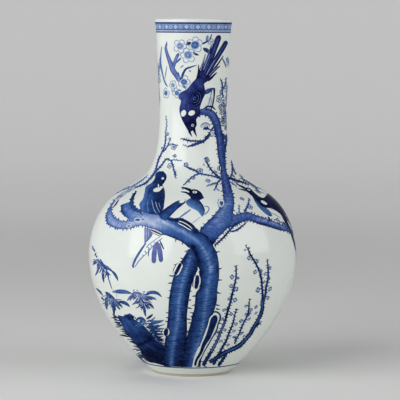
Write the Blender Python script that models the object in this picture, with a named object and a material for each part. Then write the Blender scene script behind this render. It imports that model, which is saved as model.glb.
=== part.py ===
"""A large porcelain bottle vase, made the way a potter makes one: four thrown sections, turned when
leather hard and luted end to end with slip. The origin is the middle of the foot's standing face,
+Z runs up the vase's axis, and every size is in metres."""

import math

import bpy
import numpy as np

# The outer line of the vase, from the standing face up to the mouth. Each pull says how far a
# curve runs on in the direction that it leaves a point with.
total_height = 0.500
foot_radius = 0.0595
foot_flare = 34.5  # degrees from upright, the way the wall leaves the foot
foot_pull = 0.0075
belly_radius = 0.1470
belly_height = 0.1676
belly_pull_down = 0.0925
belly_pull_up = 0.0221
shoulder_radius = 0.1054
shoulder_height = 0.2541
shoulder_slope = 57.0  # degrees from upright, leaning in
shoulder_pull_down = 0.0398
shoulder_pull_up = 0.0480
waist_radius = 0.0469
waist_height = 0.3735
waist_pull_down = 0.0968
waist_pull_up = 0.0117
mouth_radius = 0.0539
mouth_flare = 4.7
mouth_pull = 0.0165

# Wall thickness, thickest low down, where the weight of the vase rests
foot_wall = 0.0095
belly_wall = 0.0072
waist_wall = 0.0062
mouth_wall = 0.0054

# The rounded lip, which stands a little proud of the neck
lip_roll = 0.0005
lip_drop = 0.0075  # how far below the mouth the roll runs out into the neck

# The turned foot
standing_height = 0.0036  # height of the bare, bevelled edge below the glaze
standing_outer_radius = 0.0558
standing_width = 0.0042
inner_bevel = 0.0016
recess_depth = 0.0075
recess_fillet = 0.0035
recess_dome = 0.0012  # the recessed base rises this much towards its middle
floor_height = 0.0175  # of the inside floor
floor_sweep = 0.016  # how far the floor's curve up into the wall reaches, along each

# Where the thrown sections meet, and the slip between them
foot_joint_height = 0.036
neck_joint_height = 0.288
slip_thickness = 0.0014
joint_gap = 0.0003  # kept free between the slip and the clay on each side
bead_height = 0.011
bead_depth = 0.0022

# How finely the curves are drawn
facets = 60
outer_error = 0.0002  # the most that a straight step may cut off the outer line
inner_error = 0.0004
line_steps = 60
arc_steps = 3

glazed_white = (0.80, 0.83, 0.80, 1.0)
slip_white = (0.74, 0.73, 0.69, 1.0)


def clear_scene():
    for old in list(bpy.data.objects):
        bpy.data.objects.remove(old, do_unlink=True)


def leaning(degrees, length):
    """A handle of this length that leans outwards by this angle from upright."""
    angle = math.radians(degrees)
    return np.array([math.sin(angle), math.cos(angle)]) * length


def bezier(start, start_handle, end_handle, end):
    """Points along a cubic curve. The handles are measured from the ends that they belong to."""
    t = np.linspace(0.0, 1.0, line_steps + 1)[:, None]
    first, second = start + start_handle, end + end_handle
    return (
        (1 - t) ** 3 * start
        + 3 * t * (1 - t) ** 2 * first
        + 3 * t**2 * (1 - t) * second
        + t**3 * end
    )


def outer_line():
    """The outside of the wall, as (radius, height) points from the foot's glazed edge to the mouth."""
    foot = np.array([foot_radius, standing_height])
    belly = np.array([belly_radius, belly_height])
    shoulder = np.array([shoulder_radius, shoulder_height])
    waist = np.array([waist_radius, waist_height])
    mouth = np.array([mouth_radius, total_height])
    lower = bezier(foot, leaning(foot_flare, foot_pull), leaning(0, -belly_pull_down), belly)
    upper = bezier(
        belly, leaning(0, belly_pull_up), leaning(-shoulder_slope, -shoulder_pull_down), shoulder
    )
    sweep = bezier(
        shoulder, leaning(-shoulder_slope, shoulder_pull_up), leaning(0, -waist_pull_down), waist
    )
    neck = bezier(waist, leaning(0, waist_pull_up), leaning(mouth_flare, -mouth_pull), mouth)
    return np.vstack([lower, upper[1:], sweep[1:], neck[1:]])


def wall_thickness(height):
    heights = [standing_height, belly_height, waist_height, total_height]
    return np.interp(height, heights, [foot_wall, belly_wall, waist_wall, mouth_wall])


def inner_line(outside):
    """The inside of the wall: the outer line moved in, square to itself, by the wall's thickness."""
    along = np.gradient(outside, axis=0)
    along /= np.linalg.norm(along, axis=1)[:, None]
    inward = np.stack([-along[:, 1], along[:, 0]], axis=1)
    return outside + inward * wall_thickness(outside[:, 1])[:, None]


outside_line = outer_line()
inside_line = inner_line(outside_line)


def radius_at(line, height):
    return float(np.interp(height, line[:, 1], line[:, 0]))


def outer_radius(height):
    return radius_at(outside_line, height)


def inner_radius(height):
    return radius_at(inside_line, height)


def stretch(line, low, high, error):
    """The (radius, height) points of a line between two heights, with only as many of them as keep
    every straight step within this error of the line."""
    between = (line[:, 1] > low) & (line[:, 1] < high)
    ends = [(radius_at(line, low), low), (radius_at(line, high), high)]
    points = np.vstack([ends[0], line[between], ends[1]])
    kept = [0]
    while kept[-1] < len(points) - 1:
        start = points[kept[-1]]
        reach = kept[-1] + 1
        for end in range(kept[-1] + 2, len(points)):
            chord = (points[end] - start) / np.linalg.norm(points[end] - start)
            away = points[kept[-1] : end] - start
            if np.abs(away[:, 0] * chord[1] - away[:, 1] * chord[0]).max() > error:
                break
            reach = end
        kept.append(reach)
    return [tuple(points[i]) for i in kept]


def outside(low, high):
    """Down the outside of the wall."""
    return stretch(outside_line, low, high, outer_error)[::-1]


def inside(low, high):
    """Up the inside of the wall."""
    return stretch(inside_line, low, high, inner_error)


def arc(centre_radius, centre_height, size, start, end, steps):
    """Points on a round of this size, from one angle to another, in degrees from outwards."""
    angles = np.radians(np.linspace(start, end, steps + 1))
    return [
        (centre_radius + size * math.cos(a), centre_height + size * math.sin(a)) for a in angles
    ]


def finish(name, colour, roughness):
    """A non-metallic fired surface."""
    material = bpy.data.materials.new(name)
    material.use_nodes = True
    shader = material.node_tree.nodes["Principled BSDF"]
    shader.inputs["Base Color"].default_value = colour
    shader.inputs["Roughness"].default_value = roughness
    shader.inputs["Metallic"].default_value = 0.0
    return material


def turned(name, profile, material, closed=True):
    """Turns a (radius, height) profile about the vase's axis. It runs down the outer side first. A
    closed profile makes a ring, and an open one starts and ends on the axis."""
    mesh = bpy.data.meshes.new(name)
    count = len(profile)
    edges = [(i, (i + 1) % count) for i in range(count if closed else count - 1)]
    mesh.from_pydata([(radius, 0.0, height) for radius, height in profile], edges, [])
    mesh.materials.append(material)
    made = bpy.data.objects.new(name, mesh)
    bpy.context.scene.collection.objects.link(made)
    screw = made.modifiers.new("Turn on the wheel", "SCREW")
    screw.axis = "Z"
    screw.angle = math.tau
    screw.steps = facets
    screw.render_steps = facets
    screw.use_merge_vertices = True
    screw.merge_threshold = 0.00002
    screw.use_smooth_shade = True
    return made


def foot_section(material):
    """The base: a thick thrown dish, its foot ring turned from the solid clay."""
    top = foot_joint_height - slip_thickness / 2 - joint_gap
    corner = np.array([inner_radius(floor_height), floor_height])
    sweep_start = corner - [floor_sweep, 0.0]
    sweep_top = floor_height + floor_sweep * math.cos(math.radians(foot_flare))
    sweep_end = np.array([inner_radius(sweep_top), sweep_top])
    floor = [
        tuple((1 - t) ** 2 * sweep_start + 2 * t * (1 - t) * corner + t**2 * sweep_end)
        for t in np.linspace(0.0, 1.0, arc_steps + 2)
    ]
    ring_inner_radius = standing_outer_radius - standing_width
    recess_radius = ring_inner_radius - inner_bevel
    fillet_middle = recess_radius - recess_fillet, recess_depth - recess_fillet
    profile = [(0.0, floor_height)]
    profile += floor
    profile += inside(sweep_top, top)[1:]
    profile += outside(standing_height, top)
    profile += [(standing_outer_radius, 0.0), (ring_inner_radius, 0.0)]
    profile += [(recess_radius, inner_bevel)]
    profile += arc(*fillet_middle, recess_fillet, 0, 90, arc_steps)
    profile += [(0.0, recess_depth + recess_dome)]
    return turned("foot_section", profile, material, closed=False)


def wall_section(name, lower_joint, upper_joint, material):
    """A thrown ring of wall between two joints, cut level at both ends."""
    end_gap = slip_thickness / 2 + joint_gap
    bottom, top = lower_joint + end_gap, upper_joint - end_gap
    return turned(name, outside(bottom, top) + inside(bottom, top), material)


def neck_section(material):
    """The neck and the mouth. The lip is rounded over from the inside of the wall to the outside."""
    bottom = neck_joint_height + slip_thickness / 2 + joint_gap
    lip_size = (mouth_wall + lip_roll) / 2
    lip_middle = mouth_radius + lip_roll - lip_size, total_height - lip_size
    profile = arc(*lip_middle, lip_size, 180, 0, 2 * arc_steps + 2)
    profile += outside(bottom, total_height - lip_drop)
    profile += inside(bottom, total_height - lip_size)[:-1]
    return turned("neck", profile, material)


def slip_seam(name, height, material):
    """The slip that lutes two sections: a thin layer across the wall, and the bead that the potter
    presses over the joint on the inside."""
    low, high = height - slip_thickness / 2, height + slip_thickness / 2
    bead_half = bead_height / 2
    bead = []
    for angle in np.radians(np.linspace(-90, 90, 2 * arc_steps + 1)):
        level = height + bead_half * math.sin(angle)
        bead.append((inner_radius(level) - joint_gap - bead_depth * math.cos(angle), level))
    profile = [(inner_radius(high) - joint_gap, high), (outer_radius(high), high)]
    profile += [(outer_radius(low), low), (inner_radius(low) - joint_gap, low)]
    return turned(name, profile + bead, material)


def build():
    clear_scene()
    porcelain = finish("glazed porcelain", glazed_white, 0.12)
    slip = finish("fired slip", slip_white, 0.45)
    foot_section(porcelain)
    wall_section("lower_body", foot_joint_height, belly_height, porcelain)
    wall_section("upper_body", belly_height, neck_joint_height, porcelain)
    neck_section(porcelain)
    slip_seam("foot_slip_seam", foot_joint_height, slip)
    slip_seam("belly_slip_seam", belly_height, slip)
    slip_seam("neck_slip_seam", neck_joint_height, slip)


build()
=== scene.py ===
import math

import bpy
import numpy as np
from mathutils import Matrix, Vector


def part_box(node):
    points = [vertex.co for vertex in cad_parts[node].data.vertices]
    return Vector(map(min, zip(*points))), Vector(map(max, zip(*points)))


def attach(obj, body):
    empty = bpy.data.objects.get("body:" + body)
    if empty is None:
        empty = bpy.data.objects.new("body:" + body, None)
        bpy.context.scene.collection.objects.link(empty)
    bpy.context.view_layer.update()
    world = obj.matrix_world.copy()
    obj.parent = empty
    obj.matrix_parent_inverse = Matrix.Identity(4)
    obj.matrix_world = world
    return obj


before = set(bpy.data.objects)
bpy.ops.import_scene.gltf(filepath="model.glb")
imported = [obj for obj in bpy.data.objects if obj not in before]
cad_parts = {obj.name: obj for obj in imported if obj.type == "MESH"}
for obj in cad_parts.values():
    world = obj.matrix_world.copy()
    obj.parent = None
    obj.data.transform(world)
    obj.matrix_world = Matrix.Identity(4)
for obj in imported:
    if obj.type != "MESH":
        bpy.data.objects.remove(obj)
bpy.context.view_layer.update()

mm = 0.001

# The vase's line in mm, with the sizes of the part's source. Each stretch is a cubic curve: a point,
# a slope from upright, and how far the curve runs on that way.

vaseLine = {
    "foot": (59.5, 3.6), "footSlope": 34.5, "footPull": 7.5,
    "belly": (147.0, 167.6), "bellyPullDown": 92.5, "bellyPullUp": 22.1,
    "shoulder": (105.4, 254.1), "shoulderSlope": -57.0,
    "shoulderPullDown": 39.8, "shoulderPullUp": 48.0,
    "waist": (46.9, 373.5), "waistPullDown": 96.8, "waistPullUp": 11.7,
    "mouth": (53.9, 500.0), "mouthSlope": 4.7, "mouthPull": 16.5,
    "wallHeights": (3.6, 167.6, 373.5, 500.0), "wallDepths": (9.5, 7.2, 6.2, 5.4),
    "lipSize": 2.95, "lipRadius": 54.4, "lipStart": 489.5,
    "lipClear": 0.3, "lipBlend": 12.0,      # the inside wall runs over into the lip
    "floor": 17.5, "floorSweep": 16.0,
    "lipSteps": 25, "sweepSteps": 30, "floorSteps": 40,
    "beadReach": 8.0, "beadDepth": 2.2,     # the slip pressed over each joint on the inside
}


# Across and on, for a way in degrees: 0 is to the right, and on the photograph 90 is down
def facing(degrees):
    return np.array([math.cos(math.radians(degrees)), math.sin(math.radians(degrees))])


# A handle of a curve, that leans so many degrees from upright
def leaning(degrees, length):
    return facing(degrees)[::-1] * length


# How far along a line each of its points lies
def lengthsAlong(line):
    return np.concatenate([[0], np.cumsum(np.linalg.norm(np.diff(line, axis=0), axis=1))])


# Places on a line, between points that carry marks
def placesAt(where, marks, line):
    return np.stack([np.interp(where, marks, line[:, i]) for i in (0, 1)], -1)


# A cubic curve: its start and handle fade out along it as its end and handle fade in
def cubic(start, handle, endHandle, end, count=300):
    t = np.linspace(0, 1, count)[:, None]
    start, end = np.array(start), np.array(end)
    near = (1 - t) ** 3 * start + 3 * t * (1 - t) ** 2 * (start + handle)
    return near + 3 * t**2 * (1 - t) * (end + endHandle) + t**3 * end


# The outside line, from the glaze's edge above the foot up to the mouth: four curves end to end
def outerLine():
    v = vaseLine
    leave = leaning(v["footSlope"], v["footPull"])
    under = leaning(v["shoulderSlope"], -v["shoulderPullDown"])
    over = leaning(v["shoulderSlope"], v["shoulderPullUp"])
    flare = leaning(v["mouthSlope"], -v["mouthPull"])
    lower = cubic(v["foot"], leave, (0, -v["bellyPullDown"]), v["belly"])
    upper = cubic(v["belly"], (0, v["bellyPullUp"]), under, v["shoulder"])
    sweep = cubic(v["shoulder"], over, (0, -v["waistPullDown"]), v["waist"])
    neck = cubic(v["waist"], (0, v["waistPullUp"]), flare, v["mouth"])
    return np.vstack([lower, upper[1:], sweep[1:], neck[1:]])


# Square to a line of (radius, height) points, to the right of its run
def squareTo(line):
    along = np.gradient(line, axis=0)
    along /= np.linalg.norm(along, axis=1)[:, None]
    return np.stack([along[:, 1], -along[:, 0]], axis=1)


# Eases from 0 to 1: three times the square of the share, less twice its cube
def smoothStep(t):
    t = np.clip(t, 0, 1)
    return t * t * (3 - 2 * t)


lipHeight = vaseLine["mouth"][1] - vaseLine["lipSize"]
outer = outerLine()
wallDepth = np.interp(outer[:, 1], vaseLine["wallHeights"], vaseLine["wallDepths"])
inner = outer - squareTo(outer) * wallDepth[:, None]
lipShare = smoothStep((outer[:, 1] - vaseLine["lipStart"]) / (lipHeight - vaseLine["lipStart"]))
skin = np.stack([outer[:, 0] * (1 - lipShare) + vaseLine["lipRadius"] * lipShare, outer[:, 1]], 1)
skinSquare = squareTo(skin)

# How deep the glaze lies on the clay, in mm. It is thinnest on the belly and the lip, which are the
# widest and the highest places, and it covers the flat steps of the frame where the neck curves in.

glazeCoat = {
    "heights": (3.6, 6.0, 40.0, 230.0, 262.0, 470.0, 488.0, 500.0),
    "depths": (0.10, 0.20, 0.05, 0.05, 0.32, 0.32, 0.12, 0.05),
    "inside": 0.30,
    "buried": -0.06,
    "base": ((50.0, 2.4), (50.0, 4.0), (49.53, 5.75), (48.25, 7.03), (46.5, 7.5), (0.0, 8.7)),
    "baseDepth": 0.28, "baseEdge": 0.1, "baseFade": 1.5, "baseRows": 80,    # the recess under the foot
    "around": 160,
    "coarseStep": 4.3, "fineStep": 0.8,
    "fineAbove": 488, "fineBelow": 7, "fineBeyond": 58,     # at the lip, and at the edge above the foot
    "insideFade": 15,       # mm below the mouth, over which the glaze takes its depth inside
}


# A point on the glaze, from its angle (0 is the front, and the right is positive), its height and its
# lift off the glaze: the wall's own point moved out, square to the wall, and turned by the angle.
def onVase(angle, height, lift):
    squareOut = np.interp(height, skin[:, 1], skinSquare[:, 0])
    squareUp = np.interp(height, skin[:, 1], skinSquare[:, 1])
    away = lift + np.interp(height, glazeCoat["heights"], glazeCoat["depths"])
    radius = np.interp(height, skin[:, 1], skin[:, 0]) + squareOut * away
    across, front = radius * np.sin(angle), -radius * np.cos(angle)
    return np.stack([across, front, height + squareUp * away], axis=-1) * mm


# Meshes

# A mesh out of whole arrays: points, and faces in lists with as many corners each. The last
# flatFaces faces are shaded flat.
def addMesh(name, points, faceLists, material, flatFaces=0):
    mesh = bpy.data.meshes.new(name)
    corners = np.concatenate([faces.ravel() for faces in faceLists])
    sizes = np.concatenate([np.full(len(faces), faces.shape[1]) for faces in faceLists])
    mesh.vertices.add(len(points))
    mesh.vertices.foreach_set("co", np.ascontiguousarray(points, np.float32).ravel())
    mesh.loops.add(len(corners))
    mesh.loops.foreach_set("vertex_index", corners.astype(np.int32))
    mesh.polygons.add(len(sizes))
    mesh.polygons.foreach_set("loop_start", (np.cumsum(sizes) - sizes).astype(np.int32))
    smooth = np.ones(len(sizes), bool)
    smooth[len(sizes) - flatFaces:] = False
    mesh.polygons.foreach_set("use_smooth", smooth)
    mesh.update(calc_edges=True)
    mesh.validate()
    mesh.materials.append(material)
    made = bpy.data.objects.new(name, mesh)
    bpy.context.scene.collection.objects.link(made)
    return made


# A closed skin turned about the axis. The line starts at its open edge and ends on the axis. The skin's
# outer face is the line moved square to itself by the depth, and its inner face is buried in the clay.
# side is 1 for a skin to the right of the line's run, and -1 for one to the left.
def turnedSkin(name, line, depth, material, side=1):
    square = squareTo(line) * side
    square[-1] = (0, square[-1, 1])
    outerFace = line + square * depth[:, None]
    innerFace = line + square * glazeCoat["buried"]
    around = glazeCoat["around"]
    angle = np.linspace(0, math.tau, around, endpoint=False)
    rings = np.vstack([outerFace[:-1], innerFace[:-1][::-1]])
    radius, height = rings[:, :1], rings[:, 1:]
    points = np.stack([radius * np.sin(angle), -radius * np.cos(angle), height + 0 * angle], -1)
    poles = np.array([[0, 0, outerFace[-1, 1]], [0, 0, innerFace[-1, 1]]])
    half = len(line) - 1
    ring = np.arange(2 * half * around).reshape(2 * half, around)
    nextRing = np.roll(ring, -1, axis=1)
    keep = np.arange(2 * half) != half - 1      # no wall between the two faces at the axis
    low, lowNext = ring[keep], nextRing[keep]
    high, highNext = np.roll(ring, -1, axis=0)[keep], np.roll(nextRing, -1, axis=0)[keep]
    quads = np.stack([low, lowNext, highNext, high], -1).reshape(-1, 4)
    poleTop, poleUnder = 2 * half * around, 2 * half * around + 1
    fanTop = np.stack([ring[half - 1], nextRing[half - 1], np.full(around, poleTop)], -1)
    fanUnder = np.stack([nextRing[half], ring[half], np.full(around, poleUnder)], -1)
    points = np.vstack([points.reshape(-1, 3), poles]) * mm
    return addMesh(name, points, [faces[:, ::side] for faces in (quads, fanTop, fanUnder)], material)


# Steps along a line that are fine where it is told to be, and coarse elsewhere
def stepped(line, fine):
    reach = lengthsAlong(line)
    step = np.where(fine(line), glazeCoat["fineStep"], glazeCoat["coarseStep"])
    rows = np.concatenate([[0], np.cumsum(np.diff(reach) / step[1:])])
    wanted = np.linspace(0, rows[-1], int(rows[-1]) + 1)
    return placesAt(np.interp(wanted, rows, reach), reach, line)


# Painting. A mark is a grid of points on a canvas, laid on the glaze as a thin closed film. The canvas
# turns (x, y) into an angle and a height: the photograph's pixels are cast on to the vase through its
# camera, and a canvas round the back counts in steps of the same size from a point of its own.

photoCamera = {
    "place": (0.0, -3070.0, 496.1),     # mm
    "pitch": -4.7, "yaw": -0.195, "roll": 0.30,     # degrees
    "lens": 195.54, "sensor": 36.0, "image": 400,
    "searchDepth": 200, "halvings": 26,     # mm in front of the axis, and times that a sight line is halved
}
brushwork = {
    "firstLift": 0.05, "layerLift": 0.03,   # mm
    "buried": -0.04,
    "step": 0.8,        # between points along and across a mark, in the photograph's pixels
    "pixel": 1.42,      # mm
    "columns": (3, 40), "edgedColumns": 5, "sheetColumns": (3, 60),     # fewest and most across a mark
}


# A turn about one axis
def turnMatrix(axis, degrees):
    c, s = facing(degrees)
    turns = {
        "x": ((1, 0, 0), (0, c, -s), (0, s, c)),
        "z": ((c, -s, 0), (s, c, 0), (0, 0, 1)),
    }
    return np.array(turns[axis])


cameraTurn = turnMatrix("z", photoCamera["yaw"]) @ turnMatrix("x", 90 + photoCamera["pitch"])
cameraTurn = cameraTurn @ turnMatrix("z", photoCamera["roll"])


# Where the sight line through a pixel meets the vase: it is halved over and over between a place in
# front of the vase and its nearest place to the axis. A line that misses lands on the outline.
def onPhoto(points):
    focal = photoCamera["lens"] / photoCamera["sensor"] * photoCamera["image"]
    middle = photoCamera["image"] / 2
    local = np.stack([points[..., 0] - middle, middle - points[..., 1]], -1) / focal
    sight = np.concatenate([local, np.full_like(local[..., :1], -1)], -1) @ cameraTurn.T
    start = np.array(photoCamera["place"])
    flat = sight[..., 0] ** 2 + sight[..., 1] ** 2
    far = -(start[0] * sight[..., 0] + start[1] * sight[..., 1]) / flat
    near = far - photoCamera["searchDepth"]
    for halving in range(photoCamera["halvings"]):
        half = (near + far) / 2
        at = start + sight * half[..., None]
        within = np.hypot(at[..., 0], at[..., 1]) < np.interp(at[..., 2], skin[:, 1], skin[:, 0])
        near, far = np.where(within, near, half), np.where(within, half, far)
    at = start + sight * far[..., None]
    return np.arctan2(at[..., 0], -at[..., 1]), at[..., 2]


# A canvas of its own round the vase: x runs round it and y down it, in pixels from a middle that lies
# at an angle and a height. A scale of -1 across mirrors what is drawn.
def roundFrom(angle, height, middle=(0, 0), scale=(1, 1)):
    def canvas(points):
        across = (points[..., 0] - middle[0]) * scale[0] * brushwork["pixel"]
        down = (points[..., 1] - middle[1]) * scale[1] * brushwork["pixel"]
        up = height - down
        for again in range(3):      # y runs down the wall's slope, which changes with height
            slope = np.interp(up, skin[:, 1], skinSquare[:, 0])
            middleSlope = (slope + np.interp(height, skin[:, 1], skinSquare[:, 0])) / 2
            up = height - down * middleSlope
        return math.radians(angle) + across / np.interp(up, skin[:, 1], skin[:, 0]), up
    return canvas


# A piece under way: its canvas, and the films laid so far
def newPiece(name, canvas=onPhoto):
    return {"name": name, "canvas": canvas, "films": []}


# The same piece with a canvas about one spot of it, so that a flower near the outline isn't drawn out
def spotOf(piece, centre):
    angle, height = piece["canvas"](np.array(centre, float))
    return dict(piece, canvas=roundFrom(math.degrees(angle), float(height)))


# Lays a grid of canvas points. The film's outer face lies above the glaze by its layer and its inner
# face in the glaze, with a rim between them. paint is depth of colour, hue and streak, and stroke is
# mm along and across the mark.
def lay(piece, grid, layer, paint, stroke, ring=False):
    angle, height = piece["canvas"](grid)
    lift = brushwork["firstLift"] + brushwork["layerLift"] * layer
    top = onVase(angle, height, lift)
    under = onVase(angle, height, brushwork["buried"])
    rows, columns = grid.shape[:2]
    index = np.arange(rows * columns).reshape(rows, columns)
    wrapped = np.vstack([index, index[:1]]) if ring else index
    corners = (wrapped[:-1, :-1], wrapped[1:, :-1], wrapped[1:, 1:], wrapped[:-1, 1:])
    faces = np.stack(corners, -1).reshape(-1, 4)
    if ring:
        edges = [wrapped[:, 0], wrapped[::-1, -1]]
    else:
        edges = [np.concatenate([index[:, 0], index[-1, 1:], index[-2::-1, -1], index[0, -2::-1]])]
    size = rows * columns
    rim = []
    for edge in edges:
        rim.append(np.stack([edge[1:], edge[:-1], edge[:-1] + size, edge[1:] + size], -1))
    inner = faces[:, ::-1] + size
    rim = np.vstack(rim)
    spots = top.reshape(-1, 3)
    a, b, c = spots[faces[:, 0]], spots[faces[:, 1]], spots[faces[:, 2]]
    outward = onVase(angle, height, lift + 1).reshape(-1, 3)[faces[:, 0]] - a
    if (np.cross(b - a, c - b) * outward).sum() < 0:
        faces, inner, rim = faces[:, ::-1], inner[:, ::-1], rim[:, ::-1]
    piece["films"].append({
        "points": np.vstack([spots, under.reshape(-1, 3)]),
        "faces": np.vstack([faces, inner]), "rim": rim,
        "paint": np.vstack([paint.reshape(-1, 3)] * 2),
        "stroke": np.vstack([stroke.reshape(-1, 3)] * 2),
    })


# Joins a piece's films in one mesh, with the paint and the stroke as values of each point
def finishPiece(piece):
    start, faces, rim = 0, [], []
    for film in piece["films"]:
        faces.append(film["faces"] + start)
        rim.append(film["rim"] + start)
        start += len(film["points"])
    points = np.vstack([film["points"] for film in piece["films"]])
    rim = np.vstack(rim)
    made = addMesh(piece["name"], points, [np.vstack(faces), rim], cobalt, len(rim))
    for key in ("paint", "stroke"):
        values = np.vstack([film[key] for film in piece["films"]]).astype(np.float32)
        made.data.attributes.new(key, "FLOAT_VECTOR", "POINT").data.foreach_set("vector", values.ravel())
    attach(made, "root")
    print(piece["name"], "has", len(piece["films"]), "marks and", len(made.data.polygons), "faces")


# A smooth run through given points: between each two, a cubic whose slopes come from the points
# before and after, with the steps' lengths taken into account so that it never loops.
def through(path, step, closed=False):
    path = np.asarray(path, float)
    if closed:
        path = np.vstack([path[-1], path, path[:2]])
    else:
        path = np.vstack([2 * path[0] - path[1], path, 2 * path[-1] - path[-2]])
    knots = np.concatenate([[0], np.cumsum(np.linalg.norm(np.diff(path, axis=0), axis=1) ** 0.5)])
    runs = []
    marks = []
    for i in range(1, len(path) - 2):
        p, k = path[i - 1:i + 3], knots[i - 1:i + 3]
        count = max(2, int(math.ceil(np.linalg.norm(p[2] - p[1]) / step)))
        share = np.arange(count) / count
        t = (k[1] + (k[2] - k[1]) * share)[:, None]
        a = [((k[j + 1] - t) * p[j] + (t - k[j]) * p[j + 1]) / (k[j + 1] - k[j]) for j in range(3)]
        b = [((k[j + 2] - t) * a[j] + (t - k[j]) * a[j + 1]) / (k[j + 2] - k[j]) for j in range(2)]
        runs.append(((k[2] - t) * b[0] + (t - k[1]) * b[1]) / (k[2] - k[1]))
        marks.append(i - 1 + share)
    if not closed:
        runs.append(path[-2:-1])
        marks.append([len(path) - 3.0])
    return np.vstack(runs), np.concatenate(marks)


# A value given once, or one for each point of a path
def spread(value, marks):
    value = np.atleast_1d(np.asarray(value, float))
    if len(value) == 1:
        return np.full(len(marks), value[0])
    places = np.linspace(0, marks[-1], len(value))
    return np.interp(marks, places, value)


# Soft touches within a mark: each adds its change of depth where a point is near its path, fading out
# over its width as a bell curve does.
def touched(tone, grid, touches):
    for path, width, change in touches:
        run = through(path, 1.0)[0] if len(path) > 1 else np.asarray(path, float)
        gaps = np.linalg.norm(grid[..., None, :] - run, axis=-1).min(axis=-1)
        tone = tone + change * np.exp(-((gaps / width) ** 2))
    return np.clip(tone, 0, 1)


# A brush stroke: at each point of a smooth run, samples lie square to it across its width. round tips
# narrow as a circle does, over the given lengths at the start and the end. edge deepens the sides.
def brush(piece, path, width, tone=0.85, layer=0, hue=0.0, edge=0.0, tips=(0.6, 0.6),
          streak=0.0, ring=False, touches=(), bark=False):
    run, marks = through(path, brushwork["step"], ring)
    reach = lengthsAlong(run)
    wide = spread(width, marks)
    if ring:
        along = np.roll(run, -1, axis=0) - np.roll(run, 1, axis=0)
    else:
        along = np.gradient(run, axis=0)
        for gap, tip in ((reach, tips[0]), (reach[-1] - reach, tips[1])):
            share = np.clip(gap / max(tip * wide.max(), 0.01), 0, 1)
            wide = wide * np.sqrt(np.clip(1 - (1 - share) ** 2, 0.004, 1))
    along /= np.maximum(np.linalg.norm(along, axis=1), 1e-9)[:, None]
    side = np.stack([-along[:, 1], along[:, 0]], axis=1)
    columns = int(np.clip(math.ceil(wide.max() / brushwork["step"]) + 1, *brushwork["columns"]))
    if edge:
        columns = max(columns, brushwork["edgedColumns"])
    across = np.linspace(-1, 1, columns)
    grid = run[:, None] + side[:, None] * (across[None, :, None] * wide[:, None, None] / 2)
    depth = spread(tone, marks)[:, None] + edge * np.abs(across[None]) ** 3
    depth = touched(np.clip(depth, 0, 1), grid, touches)
    depth = np.broadcast_to(depth, grid.shape[:2])
    hues = spread(hue, marks)[:, None]
    layPainted(piece, grid, layer, depth, hues, streak, reach, across, wide, ring, bark)


# Bark is brushed across the branch, so there the streaks turn
def layPainted(piece, grid, layer, depth, hue, streak, reach, across, wide, ring=False, bark=False):
    shape = grid.shape[:2]
    parts = (depth, np.broadcast_to(hue, shape), np.full(shape, streak))
    paint = np.stack(parts, -1)
    pixel = brushwork["pixel"]
    run = np.broadcast_to(reach[:, None] * pixel, shape)
    sideways = np.broadcast_to(across[None] * wide[:, None] / 2 * pixel, shape)
    lengthways = (sideways, run) if bark else (run, sideways)
    lay(piece, grid, layer, paint, np.stack([*lengthways, 0 * run], -1), ring)


# Two edges as smooth runs, each with its shares along from 0 to 1. Edges with as many points each are
# paired point by point, and others by their lengths.
def pairedEdges(edgeA, edgeB, step):
    lines = []
    for path in (edgeA, edgeB):
        run, marks = through(path, step)
        reach = lengthsAlong(run)
        key = marks if len(edgeA) == len(edgeB) else reach
        lines.append((run, key / key[-1], reach[-1]))
    return lines


# Rows of x, y, x, y as two edges
def edgesOf(rows):
    return [row[:2] for row in rows], [row[2:] for row in rows]


# A painted area between two edges: the grid goes straight across from one to the other. tones is a
# coarse sheet of depths, its rows along and its columns across.
def between(piece, edgeA, edgeB, tones=((0.7,),), layer=0, hue=0.0, streak=0.0, touches=(), edge=0.0,
            bark=False):
    step = brushwork["step"]
    lines = pairedEdges(edgeA, edgeB, step / 2)
    length = max(line[2] for line in lines)
    share = np.linspace(0, 1, int(math.ceil(length / step)) + 1)
    sides = [placesAt(share, key, run) for run, key, whole in lines]
    gap = np.linalg.norm(sides[1] - sides[0], axis=1)
    columns = int(np.clip(math.ceil(gap.max() / step) + 1, *brushwork["sheetColumns"]))
    across = np.linspace(0, 1, columns)
    grid = sides[0][:, None] * (1 - across[None, :, None]) + sides[1][:, None] * across[None, :, None]
    sheet = np.atleast_2d(np.asarray(tones, float))
    rowPlaces = np.linspace(0, 1, sheet.shape[0])
    columnPlaces = np.linspace(0, 1, sheet.shape[1])
    eased = np.stack([np.interp(share, rowPlaces, column) for column in sheet.T], 1)
    depth = np.stack([np.interp(across, columnPlaces, row) for row in eased])
    depth = touched(depth + edge * np.abs(2 * across - 1) ** 5, grid, touches)
    layPainted(piece, grid, layer, depth, hue, streak, length * share, 2 * across - 1, gap, bark=bark)


# A filled oval: a square grid bent on to a disc, so that it has no point in its middle
def oval(piece, centre, radii, tilt=0, tone=0.85, layer=0, hue=0.0, edge=0.0, soft=0.0):
    count = int(np.clip(math.ceil(2 * max(radii) / brushwork["step"]) + 1, 5, 30))
    u, v = np.meshgrid(np.linspace(-1, 1, count), np.linspace(-1, 1, count), indexing="ij")
    x, y = u * np.sqrt(1 - v**2 / 2), v * np.sqrt(1 - u**2 / 2)
    c, s = facing(tilt)
    wide, tall = radii
    grid = np.stack([centre[0] + x * wide * c - y * tall * s, centre[1] + x * wide * s + y * tall * c], -1)
    out = np.hypot(x, y)
    depth = tone + edge * out**3
    if soft:
        depth = depth * smoothStep((1 - out) / soft + 0.1)
    depth = np.clip(depth, 0, 1)
    pixel = brushwork["pixel"]
    paint = np.stack([depth, np.full_like(x, hue), 0 * x], -1)
    lay(piece, grid, layer, paint, np.stack([x * wide * pixel, y * tall * pixel, 0 * x], -1))


# Ways of making marks

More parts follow.
